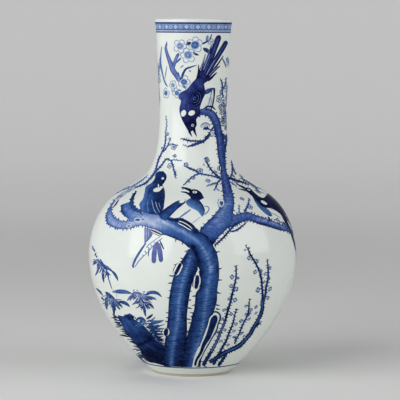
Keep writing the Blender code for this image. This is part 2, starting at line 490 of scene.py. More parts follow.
def strokes(piece, marks, **settings):
    for path, width, tone in marks:
        brush(piece, path, width, tone, **settings)


# Points round a circle, or along an arc between two ways in degrees, squashed and then tilted
def circle(centre, radius, start=0, end=360, count=9, squash=1.0, tilt=0):
    turn = np.radians(np.linspace(start, end, count, endpoint=end - start < 360))
    x, y = radius * np.cos(turn), radius * squash * np.sin(turn)
    c, s = facing(tilt)
    return np.stack([centre[0] + x * c - y * s, centre[1] + x * s + y * c], 1)


# A stroke that swells and ends in a point, from its base to its tip, bowed by a share of its length
def leaf(piece, base, tip, width, tone=0.8, bow=0.0, **settings):
    base, tip = np.array(base, float), np.array(tip, float)
    along = tip - base
    sideways = np.array([-along[1], along[0]]) * bow
    path = [base, base + along * 0.35 + sideways * 0.9, base + along * 0.7 + sideways * 0.85, tip]
    wide = np.array([0.3, 0.75, 1.0, 0.95, 0.65, 0.12]) * width
    brush(piece, path, wide, tone, tips=(0.3, 0.2), **settings)


# Short points that stand off a branch: x and y of the root, and the way it points, in degrees, where 0
# is to the right and 90 is down
def thorns(piece, spots, reach=3.4, width=1.5, tone=0.85, **settings):
    for x, y, way in spots:
        path = [(x, y) + part * reach * facing(way) for part in (-0.4, 0.3, 1)]
        brush(piece, path, [width * 1.1, width * 0.8, 0.3], tone, tips=(0.2, 0.2), **settings)


# Small points all along both edges of a branch, at uneven steps, each square to it but for a lean
def prickles(piece, edges, gap, reach, seed, tone=0.84, width=1.3, **settings):
    chance = np.random.default_rng(seed)
    lines = pairedEdges(*edges, 1.0)
    spots = []
    for side in (0, 1):
        length = lines[side][2]
        at = chance.uniform(0, gap)
        while at < length:
            here, there = (placesAt(at / length, run[1], run[0]) for run in (lines[side], lines[1 - side]))
            way = math.degrees(math.atan2(*(here - there)[::-1])) + chance.uniform(-28, 28)
            spots.append((*here, way, reach * chance.uniform(0.5, 1.15)))
            at += gap * chance.uniform(0.6, 1.5)
    for x, y, way, long in spots:
        thorns(piece, [(x, y, way)], long, width, tone, **settings)


# A bud: a ring of dabs that nearly touch round a pale middle, some of them stronger
def buds(piece, spots, tone=0.5, **settings):
    for count, (x, y, size) in enumerate(spots):
        spot = spotOf(piece, (x, y))
        start = 47 * count % 90
        for turn in range(start, start + 360, 90):
            petal = circle((0, 0), size * 0.7, turn - 42, turn + 42, 4, 0.9)
            depth = tone + 0.1 * ((turn + count) % 3 - 1)
            width = size * (0.44 + 0.08 * (turn % 4))
            brush(spot, petal, width, min(depth, 1), tips=(0.4, 0.4), **settings)
        oval(spot, (0, 0), (size * 0.2, size * 0.2), tone=tone, **settings)


# An open flower: a soft wash of blue, five uneven petal outlines round it, and stamens out of its heart

flowerShape = {     # shares of its size, and degrees
    "wash": np.array((0.66, 0.6)), "washFade": 0.4,
    "petals": 5, "petalReach": 0.66, "petalSize": 0.42, "petalArc": (118, 112), "petalLine": 0.62,
    "stamens": 9, "stamenReach": (0.12, 0.28, 0.56), "heart": (0.1, 0.1),
}


def blossom(piece, centre, size, tone=0.5, turn=0, layer=4, hue=-0.3, petalTone=0.34):
    f = flowerShape
    spot = spotOf(piece, centre)
    oval(spot, (0, 0), size * f["wash"], turn, tone, layer, hue, edge=0.06, soft=f["washFade"])
    wide = f["petalLine"] + 0.25 * max(petalTone - 0.4, 0)
    for i in range(f["petals"]):
        way = turn + 360 / f["petals"] * i + 9 * math.sin(7 * i + turn)
        reach = size * (f["petalReach"] + 0.06 * math.sin(5 * i + turn))
        since, until = way - f["petalArc"][0], way + f["petalArc"][1]
        arc = circle(facing(way) * reach, size * f["petalSize"], since, until, 7)
        brush(spot, arc, [wide * 0.7, wide, wide * 1.3, wide, wide * 0.7], petalTone, layer + 1, hue)
    near, middle, tip = f["stamenReach"]
    for i in range(f["stamens"]):
        way = facing(turn + 360 / f["stamens"] * i + 9 * (i % 3))
        ends = [way * size * far for far in (near, middle, tip - 0.1 * (i % 2))]
        brush(spot, ends, [0.3, 0.45, 0.3], min(tone + 0.24 - 0.1 * (i % 2), 1), layer + 1, hue)
    oval(spot, (0, 0), size * np.array(f["heart"]), 0, max(tone - 0.2, 0), layer + 2, hue)


# A fan of leaves from one place, at uneven angles and lengths, between two ways in degrees
def fan(piece, centre, since, until, count, reach, width, tone, seed, bow=0.08, **settings):
    chance = np.random.default_rng(seed)
    for way in np.linspace(since, until, count) + chance.uniform(-6, 6, count):
        out = facing(way)
        tip = centre + out * (reach * chance.uniform(0.65, 1.1))
        lean = bow if out[0] > 0 else -bow
        leaf(piece, centre + out * 1.2, tip, width * chance.uniform(0.8, 1.2),
             tone + chance.uniform(-0.08, 0.08), lean, **settings)


# Grass along a line: blades at even steps with uneven lengths, leaning by the angles given along it
def comb(piece, line, ways, count, reach, width, tone, seed, bow=0.1, **settings):
    chance = np.random.default_rng(seed)
    run, marks = through(line, 1.0)
    for share in (np.arange(count) + chance.uniform(0.1, 0.9, count)) / count:
        at = share * marks[-1]
        root = placesAt(at, marks, run)
        way = np.interp(share, np.linspace(0, 1, len(ways)), ways) + chance.uniform(-9, 9)
        tip = root + facing(way) * reach * chance.uniform(0.6, 1.15)
        leaf(piece, root, tip, width * chance.uniform(0.8, 1.2), tone + chance.uniform(-0.1, 0.06), bow,
             **settings)


# A twig with its small points, and flowers and buds at uneven steps on either side of it
def sprig(piece, path, width, flowers, seed, since=0.0):
    chance = np.random.default_rng(seed)
    brush(piece, path, width, 0.8, 2, 0.1, streak=0.2, edge=0.06)
    sides = sidesOf(path, width)
    prickles(piece, sides, 3.2, 1.9, seed, layer=2)
    for count, share in enumerate((np.arange(flowers) + chance.uniform(0.3, 1, flowers)) / flowers):
        share = since + (1 - since) * share
        near, far = (side[min(int(share * len(sides[0])), len(sides[0]) - 1)]
                     for side in (sides[count % 2], sides[1 - count % 2]))
        size = chance.uniform(2.6, 4.6)
        out = near + (near - far) / max(np.linalg.norm(near - far), 0.1) * size * chance.uniform(0.3, 0.9)
        if count % 3 == 2:
            buds(piece, [(*out, size * 0.55)], 0.8, layer=3)
        else:
            blossom(piece, out, size, chance.uniform(0.3, 0.55), int(chance.integers(0, 72)), 4,
                    petalTone=chance.uniform(0.4, 0.62))


# The two sides of a path, at half its width on each hand
def sidesOf(path, width):
    run, marks = through(path, 1.5)
    out = squareTo(run) * spread(width, marks)[:, None] / 2
    return run - out, run + out


# The bark's lines across a branch: bowed hair strokes at uneven steps, that run part of the way over
def hatch(piece, edges, gap, tone, layer, seed, since=0.0, width=0.55, bow=0.14, **settings):
    chance = np.random.default_rng(seed)
    lines = pairedEdges(*edges, 1.0)
    length = max(line[2] for line in lines)
    at = since * length
    while at < length - gap:
        at += gap * chance.uniform(0.55, 1.45)
        share = min(at / length, 1)
        ends = [placesAt(share, key, run) for run, key, whole in lines]
        start = chance.choice([0.04, 0.04, chance.uniform(0.1, 0.6)])
        stop = chance.choice([0.96, 0.96, chance.uniform(0.4, 0.9)])
        if stop - start < 0.25:
            continue
        across = ends[1] - ends[0]
        drop = np.array([across[1], -across[0]]) * bow * chance.uniform(0.4, 1.3)
        path = [ends[0] + across * start, ends[0] + across * (start + stop) / 2 + drop,
                ends[0] + across * stop]
        brush(piece, path, [width * 0.6, width, width * 0.5], tone + chance.uniform(-0.06, 0.06), layer,
              **settings)


# Bands that run right round the vase, between two heights in mm
def byAngle(points):
    return np.radians(points[..., 0]), points[..., 1]


# One band: its rows go round the vase and its columns from the low edge to the high one
def band(piece, low, high, tone, layer, hue=0.0):
    turn = np.arange(0, 360, 2.25)[:, None]
    heights = (low + high) / 2 + np.linspace(-1, 1, 5) * (high - low) / 2
    radius = np.interp(heights, skin[:, 1], skin[:, 0])
    paint = np.stack(np.broadcast_arrays(tone, hue, 0 * turn * heights), -1)
    stroke = np.stack(np.broadcast_arrays(np.radians(turn) * radius, heights, 0.0), -1)
    grid = np.stack(np.broadcast_arrays(turn, heights), -1)
    lay(piece, grid, layer, paint, stroke, ring=True)


# Materials

# Linear light from an sRGB hex code
def colour(code):
    parts = np.array([int(code[i:i + 2], 16) for i in (1, 3, 5)]) / 255
    linear = np.where(parts <= 0.04045, parts / 12.92, ((parts + 0.055) / 1.055) ** 2.4)
    return (*[float(part) for part in linear], 1.0)


# The scale that gives a texture clouds of a size in mm
def scaleOf(size):
    return 1 / (size * mm)


# Puts values on a node's inputs, and links those that are sockets
def feed(tree, made, values):
    for key, value in values.items():
        if isinstance(value, bpy.types.NodeSocket):
            tree.links.new(value, made.inputs[key])
        else:
            made.inputs[key].default_value = value


# Adds a node with its settings and its inputs. It gives back the node, or the output that is named.
def node(tree, kind, values, output=None, **settings):
    made = tree.nodes.new("ShaderNode" + kind)
    for name, value in settings.items():
        setattr(made, name, value)
    feed(tree, made, values)
    return made if output is None else made.outputs[output]


# A material with its tree, its shader and the place of each point on the object
def newMaterial(name):
    made = bpy.data.materials.new(name)
    made.use_nodes = True
    tree = made.node_tree
    return made, tree, tree.nodes["Principled BSDF"], node(tree, "TexCoord", {}, "Object")


# Glazed porcelain: a white body under a clear glaze with a faint green-blue cast. The glaze is fired
# glossy, with soft undulations a few mm wide, and it is cooler where it lies deep.

porcelainGlaze = {
    "white": "#E9EDE8", "cool": "#DFE6E1",
    "cloudSize": 38, "rippleSize": 9, "rippleDepth": 0.012,     # mm
    "roughness": 0.12, "index": 1.45,
    "overPaint": 1.03,      # the index over the painting, whose darks stay clear and deep
}


def glazeGround(tree, where):
    g = porcelainGlaze
    cloud = {"Vector": where, "Scale": scaleOf(g["cloudSize"]), "Detail": 3}
    clouds = node(tree, "TexNoise", cloud, "Fac")
    return node(tree, "Mix", {0: clouds, 6: colour(g["white"]), 7: colour(g["cool"])}, 2, data_type="RGBA")


def glazeGloss(tree, shader, where, index):
    g = porcelainGlaze
    swell = {"Vector": where, "Scale": scaleOf(g["rippleSize"]), "Detail": 1}
    ripple = node(tree, "TexNoise", swell, "Fac")
    bump = node(tree, "Bump", {"Height": ripple, "Distance": g["rippleDepth"] * mm}, "Normal")
    feed(tree, shader, {"Normal": bump, "Roughness": g["roughness"], "IOR": index})


def glazedPorcelain():
    made, tree, shader, where = newMaterial("glazed porcelain")
    feed(tree, shader, {"Base Color": glazeGround(tree, where)})
    glazeGloss(tree, shader, where, porcelainGlaze["index"])
    return made


# Underglaze cobalt: ground cobalt in water, brushed on the raw clay and sealed under the glaze. It goes
# from a pale wash to nearly black where it is heaped, leans to violet or to slate by each mark's hue,
# and shows the brush's streaks.

cobaltPaint = {
    "depths": (0.0, 0.15, 0.35, 0.55, 0.72, 0.86, 1.0),
    "blue": ("#E4E9E6", "#BECBE0", "#859DCA", "#4A70B0", "#315493", "#1D3368", "#0A0E2A"),
    "violet": ("#E4E9E6", "#C9C9DE", "#979BC4", "#6067A6", "#3C4288", "#262962", "#110E32"),
    "slate": ("#E4E9E6", "#BCCDDA", "#859FBA", "#4B6E96", "#305279", "#1B3355", "#0A1128"),
    "heapSize": 1.1, "heapDepth": 0.12,     # mm, and share of the depth of colour
    "poolSize": 7.0, "poolDepth": 0.14,
    "hairSize": 0.5, "hairLength": 14.0,    # mm, the brush's hairs
    "unevenGain": 4.0, "washGain": 14.0,    # how fast unevenness, and colour itself, come in with depth
}


def underglazeCobalt():
    c = cobaltPaint
    made, tree, shader, where = newMaterial("underglaze cobalt")
    paint = node(tree, "Attribute", {}, "Vector", attribute_name="paint")
    stroke = node(tree, "Attribute", {}, "Vector", attribute_name="stroke")
    painted, hue, streak = node(tree, "SeparateXYZ", {0: paint}).outputs
    hairScale = (1 / c["hairLength"], 1 / c["hairSize"], 1.0)
    hairs = node(tree, "Mapping", {"Vector": stroke, "Scale": hairScale}, 0)
    uneven = 0.0
    for place, scale, strength in (
        (where, scaleOf(c["heapSize"]), 2 * c["heapDepth"]),
        (where, scaleOf(c["poolSize"]), 2 * c["poolDepth"]),
        (hairs, 1.0, streak),
    ):
        cloud = node(tree, "TexNoise", {"Vector": place, "Scale": scale, "Detail": 2}, "Fac")
        cloud = node(tree, "Math", {0: cloud, 1: 0.5}, 0, operation="SUBTRACT")
        cloud = node(tree, "Math", {0: cloud, 1: strength}, 0, operation="MULTIPLY")
        uneven = node(tree, "Math", {0: uneven, 1: cloud}, 0, operation="ADD")
    share = node(tree, "Math", {0: painted, 1: c["unevenGain"]}, 0, operation="MULTIPLY", use_clamp=True)
    uneven = node(tree, "Math", {0: uneven, 1: share}, 0, operation="MULTIPLY")
    depth = node(tree, "Math", {0: painted, 1: uneven}, 0, operation="ADD", use_clamp=True)
    shades = {}
    for name in ("blue", "violet", "slate"):
        ramp = node(tree, "ValToRGB", {"Fac": depth})
        elements = ramp.color_ramp.elements
        while len(elements) < len(c["depths"]):
            elements.new(0.5)
        for element, place, code in zip(elements, c["depths"], c[name]):
            element.position = place
            element.color = colour(code)
        shades[name] = ramp.outputs["Color"]
    mixed = shades["blue"]
    for name, way in (("violet", 1.0), ("slate", -1.0)):
        lean = node(tree, "Math", {0: hue, 1: way}, 0, operation="MULTIPLY")
        lean = node(tree, "Math", {0: lean, 1: 0.0}, 0, operation="MAXIMUM")
        mixed = node(tree, "Mix", {0: lean, 6: mixed, 7: shades[name]}, 2, data_type="RGBA")
    wash = node(tree, "Math", {0: depth, 1: c["washGain"]}, 0, operation="MULTIPLY", use_clamp=True)
    ground = glazeGround(tree, where)
    mixed = node(tree, "Mix", {0: wash, 6: ground, 7: mixed}, 2, data_type="RGBA")
    feed(tree, shader, {"Base Color": mixed})
    glazeGloss(tree, shader, where, porcelainGlaze["overPaint"])
    return made


# Bare clay, fired without glaze: matt and a little gritty, with the turning tool's rings and a burnt
# brown edge where the glaze stops. The slip in the joints is the same clay, let down with water.

bareClay = {
    "clay": ("#D8D0C1", "#C9BFAD"), "slip": ("#DAD6CB", "#CDC8BA"), "burnt": "#9C7A55",
    "gritSize": 0.7, "patchSize": 6.0, "gritDepth": 0.05,       # mm
    "toolStep": 0.6, "toolDepth": 0.03, "toolWaver": 0.4,       # mm between the tool's rings, and mm deep
    "glazeEdge": 3.6, "burntReach": 1.3,    # mm, height of the glaze's edge, and how far the brown runs
    "patchFloor": 0.25,     # the brown's least strength
    "roughness": 0.8, "sheen": 0.3,
}


def firedClay(name, colours, burnt):
    b = bareClay
    made, tree, shader, where = newMaterial(name)
    grit = node(tree, "TexNoise", {"Vector": where, "Scale": scaleOf(b["gritSize"]), "Detail": 4}, "Fac")
    patch = {"Vector": where, "Scale": scaleOf(b["patchSize"]), "Detail": 3}
    patches = node(tree, "TexNoise", patch, "Fac")
    share = node(tree, "Math", {0: grit, 1: patches}, 0, operation="ADD")
    share = node(tree, "Math", {0: share, 1: 0.5}, 0, operation="MULTIPLY")
    mixed = node(tree, "Mix", {0: share, 6: colour(colours[0]), 7: colour(colours[1])}, 2, data_type="RGBA")
    if burnt:
        up = node(tree, "SeparateXYZ", {0: where}, 2)
        away = node(tree, "Math", {0: up, 1: b["glazeEdge"] * mm}, 0, operation="SUBTRACT")
        away = node(tree, "Math", {0: away}, 0, operation="ABSOLUTE")
        away = node(tree, "Math", {0: away, 1: b["burntReach"] * mm}, 0, operation="DIVIDE")
        near = node(tree, "Math", {0: 1.0, 1: away}, 0, operation="SUBTRACT", use_clamp=True)
        strength = node(tree, "Math", {0: patches, 1: b["patchFloor"]}, 0, operation="ADD")
        near = node(tree, "Math", {0: near, 1: strength}, 0, operation="MULTIPLY", use_clamp=True)
        mixed = node(tree, "Mix", {0: near, 6: mixed, 7: colour(b["burnt"])}, 2, data_type="RGBA")
    ringScale = math.tau / (20 * b["toolStep"] * mm)        # the texture's wave turns 20 radians a unit
    rings = {"Vector": where, "Scale": ringScale, "Distortion": b["toolWaver"]}
    tooled = node(tree, "TexWave", rings, "Fac", wave_type="RINGS", rings_direction="SPHERICAL")
    gritty = node(tree, "Bump", {"Height": grit, "Distance": b["gritDepth"] * mm}, "Normal")
    relief = {"Height": tooled, "Distance": b["toolDepth"] * mm, "Normal": gritty}
    feed(tree, shader, {"Base Color": mixed, "Normal": node(tree, "Bump", relief, "Normal"),
                        "Roughness": b["roughness"], "Specular IOR Level": b["sheen"]})
    return made


glaze = glazedPorcelain()
cobalt = underglazeCobalt()
biscuit = firedClay("biscuit porcelain", bareClay["clay"], True)
slip = firedClay("fired slip", bareClay["slip"], False)
for name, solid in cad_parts.items():
    for materialSlot in solid.material_slots:
        materialSlot.material = slip if name.endswith("seam") else biscuit
print("materials made, and clay put on", len(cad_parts), "solids")


# The glaze over the vase, from its edge above the foot up and over the lip, then down the inside wall,
# with the slip's beads, and over the inside floor

def glazeLine():
    v = vaseLine
    up = skin[skin[:, 1] < lipHeight]
    turn = np.linspace(0, math.pi, v["lipSteps"])
    lipMiddle = v["lipRadius"] - v["lipSize"]
    lip = np.stack([lipMiddle + v["lipSize"] * np.cos(turn), lipHeight + v["lipSize"] * np.sin(turn)], 1)
    sweepTop = v["floor"] + v["floorSweep"] * math.cos(math.radians(v["footSlope"]))
    down = inner[(inner[:, 1] < lipHeight - v["lipClear"]) & (inner[:, 1] > sweepTop)][::-1].copy()
    lipShare = smoothStep((down[:, 1] - lipHeight + v["lipBlend"]) / v["lipBlend"])
    down[:, 0] = down[:, 0] * (1 - lipShare) + (lipMiddle - v["lipSize"]) * lipShare
    for name in ("foot_slip_seam", "belly_slip_seam", "neck_slip_seam"):
        low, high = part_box(name)
        middle = (low.z + high.z) / 2 / mm
        near = np.clip(np.abs(down[:, 1] - middle) / v["beadReach"], 0, 1)
        down[:, 0] -= v["beadDepth"] * np.cos(near * math.pi / 2) ** 2
    corner = np.array([np.interp(v["floor"], inner[:, 1], inner[:, 0]), v["floor"]])
    t = np.linspace(0, 1, v["sweepSteps"])[:, None]
    start, end = down[-1], corner - [v["floorSweep"], 0]
    sweep = (1 - t) ** 2 * start + 2 * t * (1 - t) * corner + t**2 * end
    across = np.linspace(end[0], 0, v["floorSteps"])
    floor = np.stack([across, np.full(v["floorSteps"], v["floor"])], 1)
    return np.vstack([up, lip, down, sweep[1:], floor[1:]])


# Fine steps are needed round the lip, and at the glaze's edge above the foot
def isFine(points):
    radius, height = points[:, 0], points[:, 1]
    nearFoot = (height < glazeCoat["fineBelow"]) & (radius > glazeCoat["fineBeyond"])
    return (height > glazeCoat["fineAbove"]) | nearFoot


def addGlaze(name, line, depth, side=1):
    made = turnedSkin(name, line, depth, glaze, side)
    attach(made, "root")
    print(name, "has", len(made.data.polygons), "faces")


rowLine = stepped(glazeLine(), isFine)
insideRow = np.arange(len(rowLine)) > np.argmax(rowLine[:, 1])
fromTop = np.clip((vaseLine["mouth"][1] - rowLine[:, 1]) / glazeCoat["insideFade"], 0, 1)
outsideDepth = np.interp(rowLine[:, 1], glazeCoat["heights"], glazeCoat["depths"])
insideDepth = outsideDepth * (1 - fromTop) + glazeCoat["inside"] * fromTop
addGlaze("glaze_coat", rowLine, np.where(insideRow, insideDepth, outsideDepth))

baseLine = np.array(glazeCoat["base"])
baseReach = lengthsAlong(baseLine)
baseAt = np.linspace(0, baseReach[-1], glazeCoat["baseRows"])
baseLine = placesAt(baseAt, baseReach, baseLine)
baseShare = smoothStep(baseAt / glazeCoat["baseFade"])
baseDepth = glazeCoat["baseEdge"] + (glazeCoat["baseDepth"] - glazeCoat["baseEdge"]) * baseShare
addGlaze("base_glaze", baseLine, baseDepth, -1)

# The border under the mouth: white four-petalled florets on a blue band, between ruled lines

mouthBorder = {
    "topLine": (492.4, 494.9), "field": (484.6, 492.2), "underLine": (483.6, 484.9),
    "paleRow": (481.6, 483.4), "lowLine": (480.2, 481.7),
    "florets": 21, "firstFloret": 6.6, "petal": (2.3, 1.6),      # degrees, mm
    "halfGap": 5.7,     # from a floret to the middle of the gap, in a canvas's pixels
    "crossLeaves": (4.5, 1.0, 1.7), "tuft": (1.6, 2.1),     # distance, and reach across and up
    "dash": 0.9,
}


def paintMouthBorder():
    m = mouthBorder
    piece = newPiece("mouth_border", byAngle)
    band(piece, *m["field"], 0.45, 0, -0.1)
    band(piece, *m["topLine"], 0.8, 1, 0.25)
    band(piece, *m["underLine"], 0.62, 1, 0.2)
    band(piece, *m["paleRow"], 0.22, 0, 0.2)
    band(piece, *m["lowLine"], 0.84, 1, 0.2)
    middle = sum(m["field"]) / 2
    pixel = brushwork["pixel"]
    half, (far, leanOut, leanUp), (out, up) = m["halfGap"], m["crossLeaves"], m["tuft"]
    for i in range(m["florets"]):
        around = m["firstFloret"] + 360 * i / m["florets"]
        piece["canvas"] = roundFrom(around, middle)
        reach, wide = m["petal"][0] / pixel, m["petal"][1] / pixel
        for way in (0, 90, 180, 270):
            x, y = facing(way)
            oval(piece, (x * reach * 0.62, y * reach * 0.62), (reach * 0.62, wide * 0.55), way, 0.07, 3)
        oval(piece, (0, 0), (0.5, 0.5), 0, 0.7, 4, -0.2)
        for x in (-far, far):       # small crossed leaves between the florets
            for lean in (-leanUp, leanUp):
                leaves = [(x - leanOut, lean), (x, 0), (x + leanOut, -lean)]
                brush(piece, leaves, [0.3, 0.6, 0.3], 0.22, 2)
        for y in (-up, up):
            brush(piece, [(half - out, y), (half, y * 0.75), (half + out, y)], [0.3, 0.7, 0.3], 0.3, 2)
    for i in range(4 * m["florets"]):       # the pale row is cut into short dashes
        piece["canvas"] = roundFrom(m["firstFloret"] + 90 * i / m["florets"], sum(m["paleRow"]) / 2)
        brush(piece, [(-m["dash"], 0), (0, 0), (m["dash"], 0)], 0.5, 0.6, 1, 0.3)
    finishPiece(piece)


# The line that the scene stands on, right round above the foot

groundLine = {"low": 13.8, "high": 15.4}


def paintGroundLine():
    piece = newPiece("ground_line", byAngle)
    band(piece, groundLine["low"], groundLine["high"], 0.84, 0, 0.0)
    finishPiece(piece)


# The magpie on the neck, head down, with its tail fanned up

neckMagpie = {
    "feathers": [
        ([(219.5, 35.2), (217, 41), (213.1, 51.6), (206.3, 70.5), (202.5, 80)], [5, 5.8, 5.8, 5.2, 4],
         0.86),
        ([(226.6, 40.8), (222.6, 48), (217.7, 56.2), (210.8, 67.7), (204.5, 80)], [4.4, 4.8, 4.8, 4.4, 4],
         0.86),
        ([(205.4, 54), (201.7, 66.5), (199, 74), (198.5, 80)], [0.8, 2, 2.2, 2.4], 0.93),
        ([(211.4, 45), (208, 56.2), (203.4, 67.7), (200.5, 79)], [0.9, 2, 2.6, 3], 0.88),
        ([(223.3, 55.6), (216, 66.5), (209.7, 74), (205, 80)], [0.7, 1.8, 2, 2.2], 0.92),
        ([(219.9, 65.6), (212.6, 72.3), (206, 80)], [1, 2.1, 2.4], 0.92),
        ([(216.8, 72.2), (212, 77), (207.5, 81)], [1, 2.2, 2.4], 0.92),
        ([(198.5, 64.3), (198.4, 73.4), (197, 80)], [0.7, 2.2, 2.8], 0.95),
    ],
    "streaks": [
        ([(218.3, 38.5), (213.6, 50), (208, 63), (204.5, 73)], 0.5, 0.62),
        ([(225.2, 44.4), (218.5, 54.5), (211.5, 66), (206.5, 75)], 0.5, 0.6),
        ([(209.6, 49.5), (206.2, 58.6), (203, 67)], 0.8, 0.5), ([(215.6, 47.5), (211.4, 58)], 0.45, 0.68),
        ([(205.8, 53), (202.8, 62), (200.4, 71)], 0.55, 0.3),
        ([(209.8, 53.6), (206.2, 62.6), (203.4, 70)], 0.55, 0.28),
        ([(214.6, 60), (209.6, 68.6), (206, 75)], 0.55, 0.3),
        ([(217.6, 66.6), (212.6, 71.4), (208.6, 75.6)], 0.5, 0.3),
    ],
    "left": [
        (197, 77.7), (192.5, 82.3), (186.7, 89.2), (181.6, 92.2), (179.2, 97.2), (181, 100.7),
        (179.6, 108.1), (179.9, 113.3), (182.1, 119.6), (185.6, 126.5), (189.4, 132.6),
    ],
    "right": [
        (212.2, 79), (206.5, 81.8), (204, 84), (204.6, 87.5), (205.1, 93.8), (202.8, 99), (199.9, 108.1),
        (200.5, 112.7), (198.2, 116.4), (196.2, 119.6), (196.7, 124.8), (194.4, 129.4),
    ],
    "tones": (
        (0.9, 0.88, 0.92), (0.82, 0.84, 0.88), (0.78, 0.88, 0.92), (0.74, 0.9, 0.88), (0.78, 0.88, 0.84),
        (0.86, 0.94, 0.94), (0.92, 1.0, 0.98), (0.92, 0.98, 0.96),
    ),
    "touches": [
        ([(195.5, 94), (196, 99), (194.5, 104)], 1.7, 0.16),
        ([(185.5, 98), (184, 106), (184.5, 112)], 1.6, -0.1), ([(197.5, 82), (200.5, 86)], 2.0, -0.08),
        ([(190, 86), (188, 97), (188.5, 110)], 1.0, -0.06),
    ],
    "scallops": [    # radius, from, to, width, depth
        (1.2, 0, 330, 0.5, 0.56), (2.4, -100, 110, 1.0, 1.0), (3.4, -90, 90, 0.45, 0.6),
        (4.5, -110, 110, 1.1, 1.0), (5.7, -80, 60, 0.4, 0.64), (6.8, -100, 70, 1.1, 1.0),
    ],
    "scallopMiddle": (194.8, 98.4),
    "beak": [
        ([(188.9, 130.6), (190.6, 134), (192, 136.8)], [2.6, 1.7, 0.3], 1.0),
        ([(193.6, 128), (194.9, 132.4), (196.9, 136.9)], [3.2, 1.9, 0.3], 1.0),
    ],
    "foot": (178.6, 97.4, 183.5, 99.5),
    "white": [((183.6, 113.3), (2.5, 3.4), 20), ((191.7, 113), (3.4, 2.5), -25)],
    "eye": (192.7, 125.3, 1.35),
    "thigh": [([(203.5, 93.6), (208, 91), (213.4, 88)], [3.6, 4.8, 1.8], 0.76)],
    "leg": [
        ([(214, 87.6), (214, 95), (213, 102), (211.8, 107.4)], [2, 1.3, 1.2, 1.4], 0.94),
        ([(211.6, 90), (210.6, 96), (209.2, 103)], [1, 0.6, 0.5], 0.6),
        ([(204, 108), (207.6, 106.4), (211.8, 106.8), (215.4, 110)], [1, 1.6, 1.8, 0.9], 0.9),
        ([(207, 107), (206.4, 109.4), (204.8, 110.6)], [1.2, 1, 0.5], 0.9),
        ([(211, 107), (211, 110), (209.8, 111.6)], [1.2, 1, 0.5], 0.9),
    ],
    "fanFlower": (205.4, 127.4, 2.8, 3.3, 1.6),     # x, y, reach of the stamens, reach of the petals, size
    "whiteThigh": ([(207.8, 96), (205.4, 102), (202.3, 108.6)], [3.4, 5.8, 2.2]),
    "down": [
        ([(209.6, 97.6), (208.9, 103), (206.2, 108)], [0.4, 0.9, 0.4], 0.4),
        ([(211.6, 97), (210.9, 103.4), (208.6, 109.4)], [0.4, 0.9, 0.4], 0.34),
    ],
}


def paintNeckMagpie():
    m = neckMagpie
    piece = newPiece("neck_magpie")
    strokes(piece, m["feathers"], layer=4, hue=0.7, streak=0.25, edge=0.05)
    strokes(piece, m["streaks"], layer=5, hue=0.6)
    between(piece, m["left"], m["right"], m["tones"], 6, 0.65, 0.3, m["touches"])
    leaf(piece, m["foot"][2:], m["foot"][:2], 3, 0.8, layer=6, hue=0.6)
    strokes(piece, m["thigh"], layer=5, hue=-0.2, streak=0.3)
    brush(piece, m["whiteThigh"][0], m["whiteThigh"][1], 0.05, 7, tips=(0.4, 0.4))
    strokes(piece, m["down"], layer=7, hue=-0.4)
    strokes(piece, m["leg"], layer=8, hue=0.3)
    x, y, near, far, size = m["fanFlower"]
    for way in (205, 232, 262, 292, 322):      # the half-open flower below the beak
        c, s = facing(way)
        brush(piece, circle((x + far * c, y + far * s), size, way - 115, way + 115, 6), 0.55, 0.56, 6, -0.2)
        brush(piece, [(x + c, y + s), (x + near * c, y + near * s)], 0.5, 0.46, 6, -0.2)
    for radius, since, until, width, tone in m["scallops"]:
        brush(piece, circle(m["scallopMiddle"], radius, since, until, 9, 1.25, 20), width, tone, 7, 0.3)
    strokes(piece, m["beak"], layer=7, hue=0.5, tips=(0.2, 0.3))
    for centre, radii, tilt in m["white"]:
        oval(piece, centre, radii, tilt, 0.0, 8)
    x, y, size = m["eye"]
    oval(piece, (x, y), (size, size), 0, 0.12, 8)
    oval(piece, (x, y), (size * 0.5, size * 0.5), 0, 1.0, 9, 0.4)
    finishPiece(piece)


# Twigs and flowers at the top of the neck, left of the tail

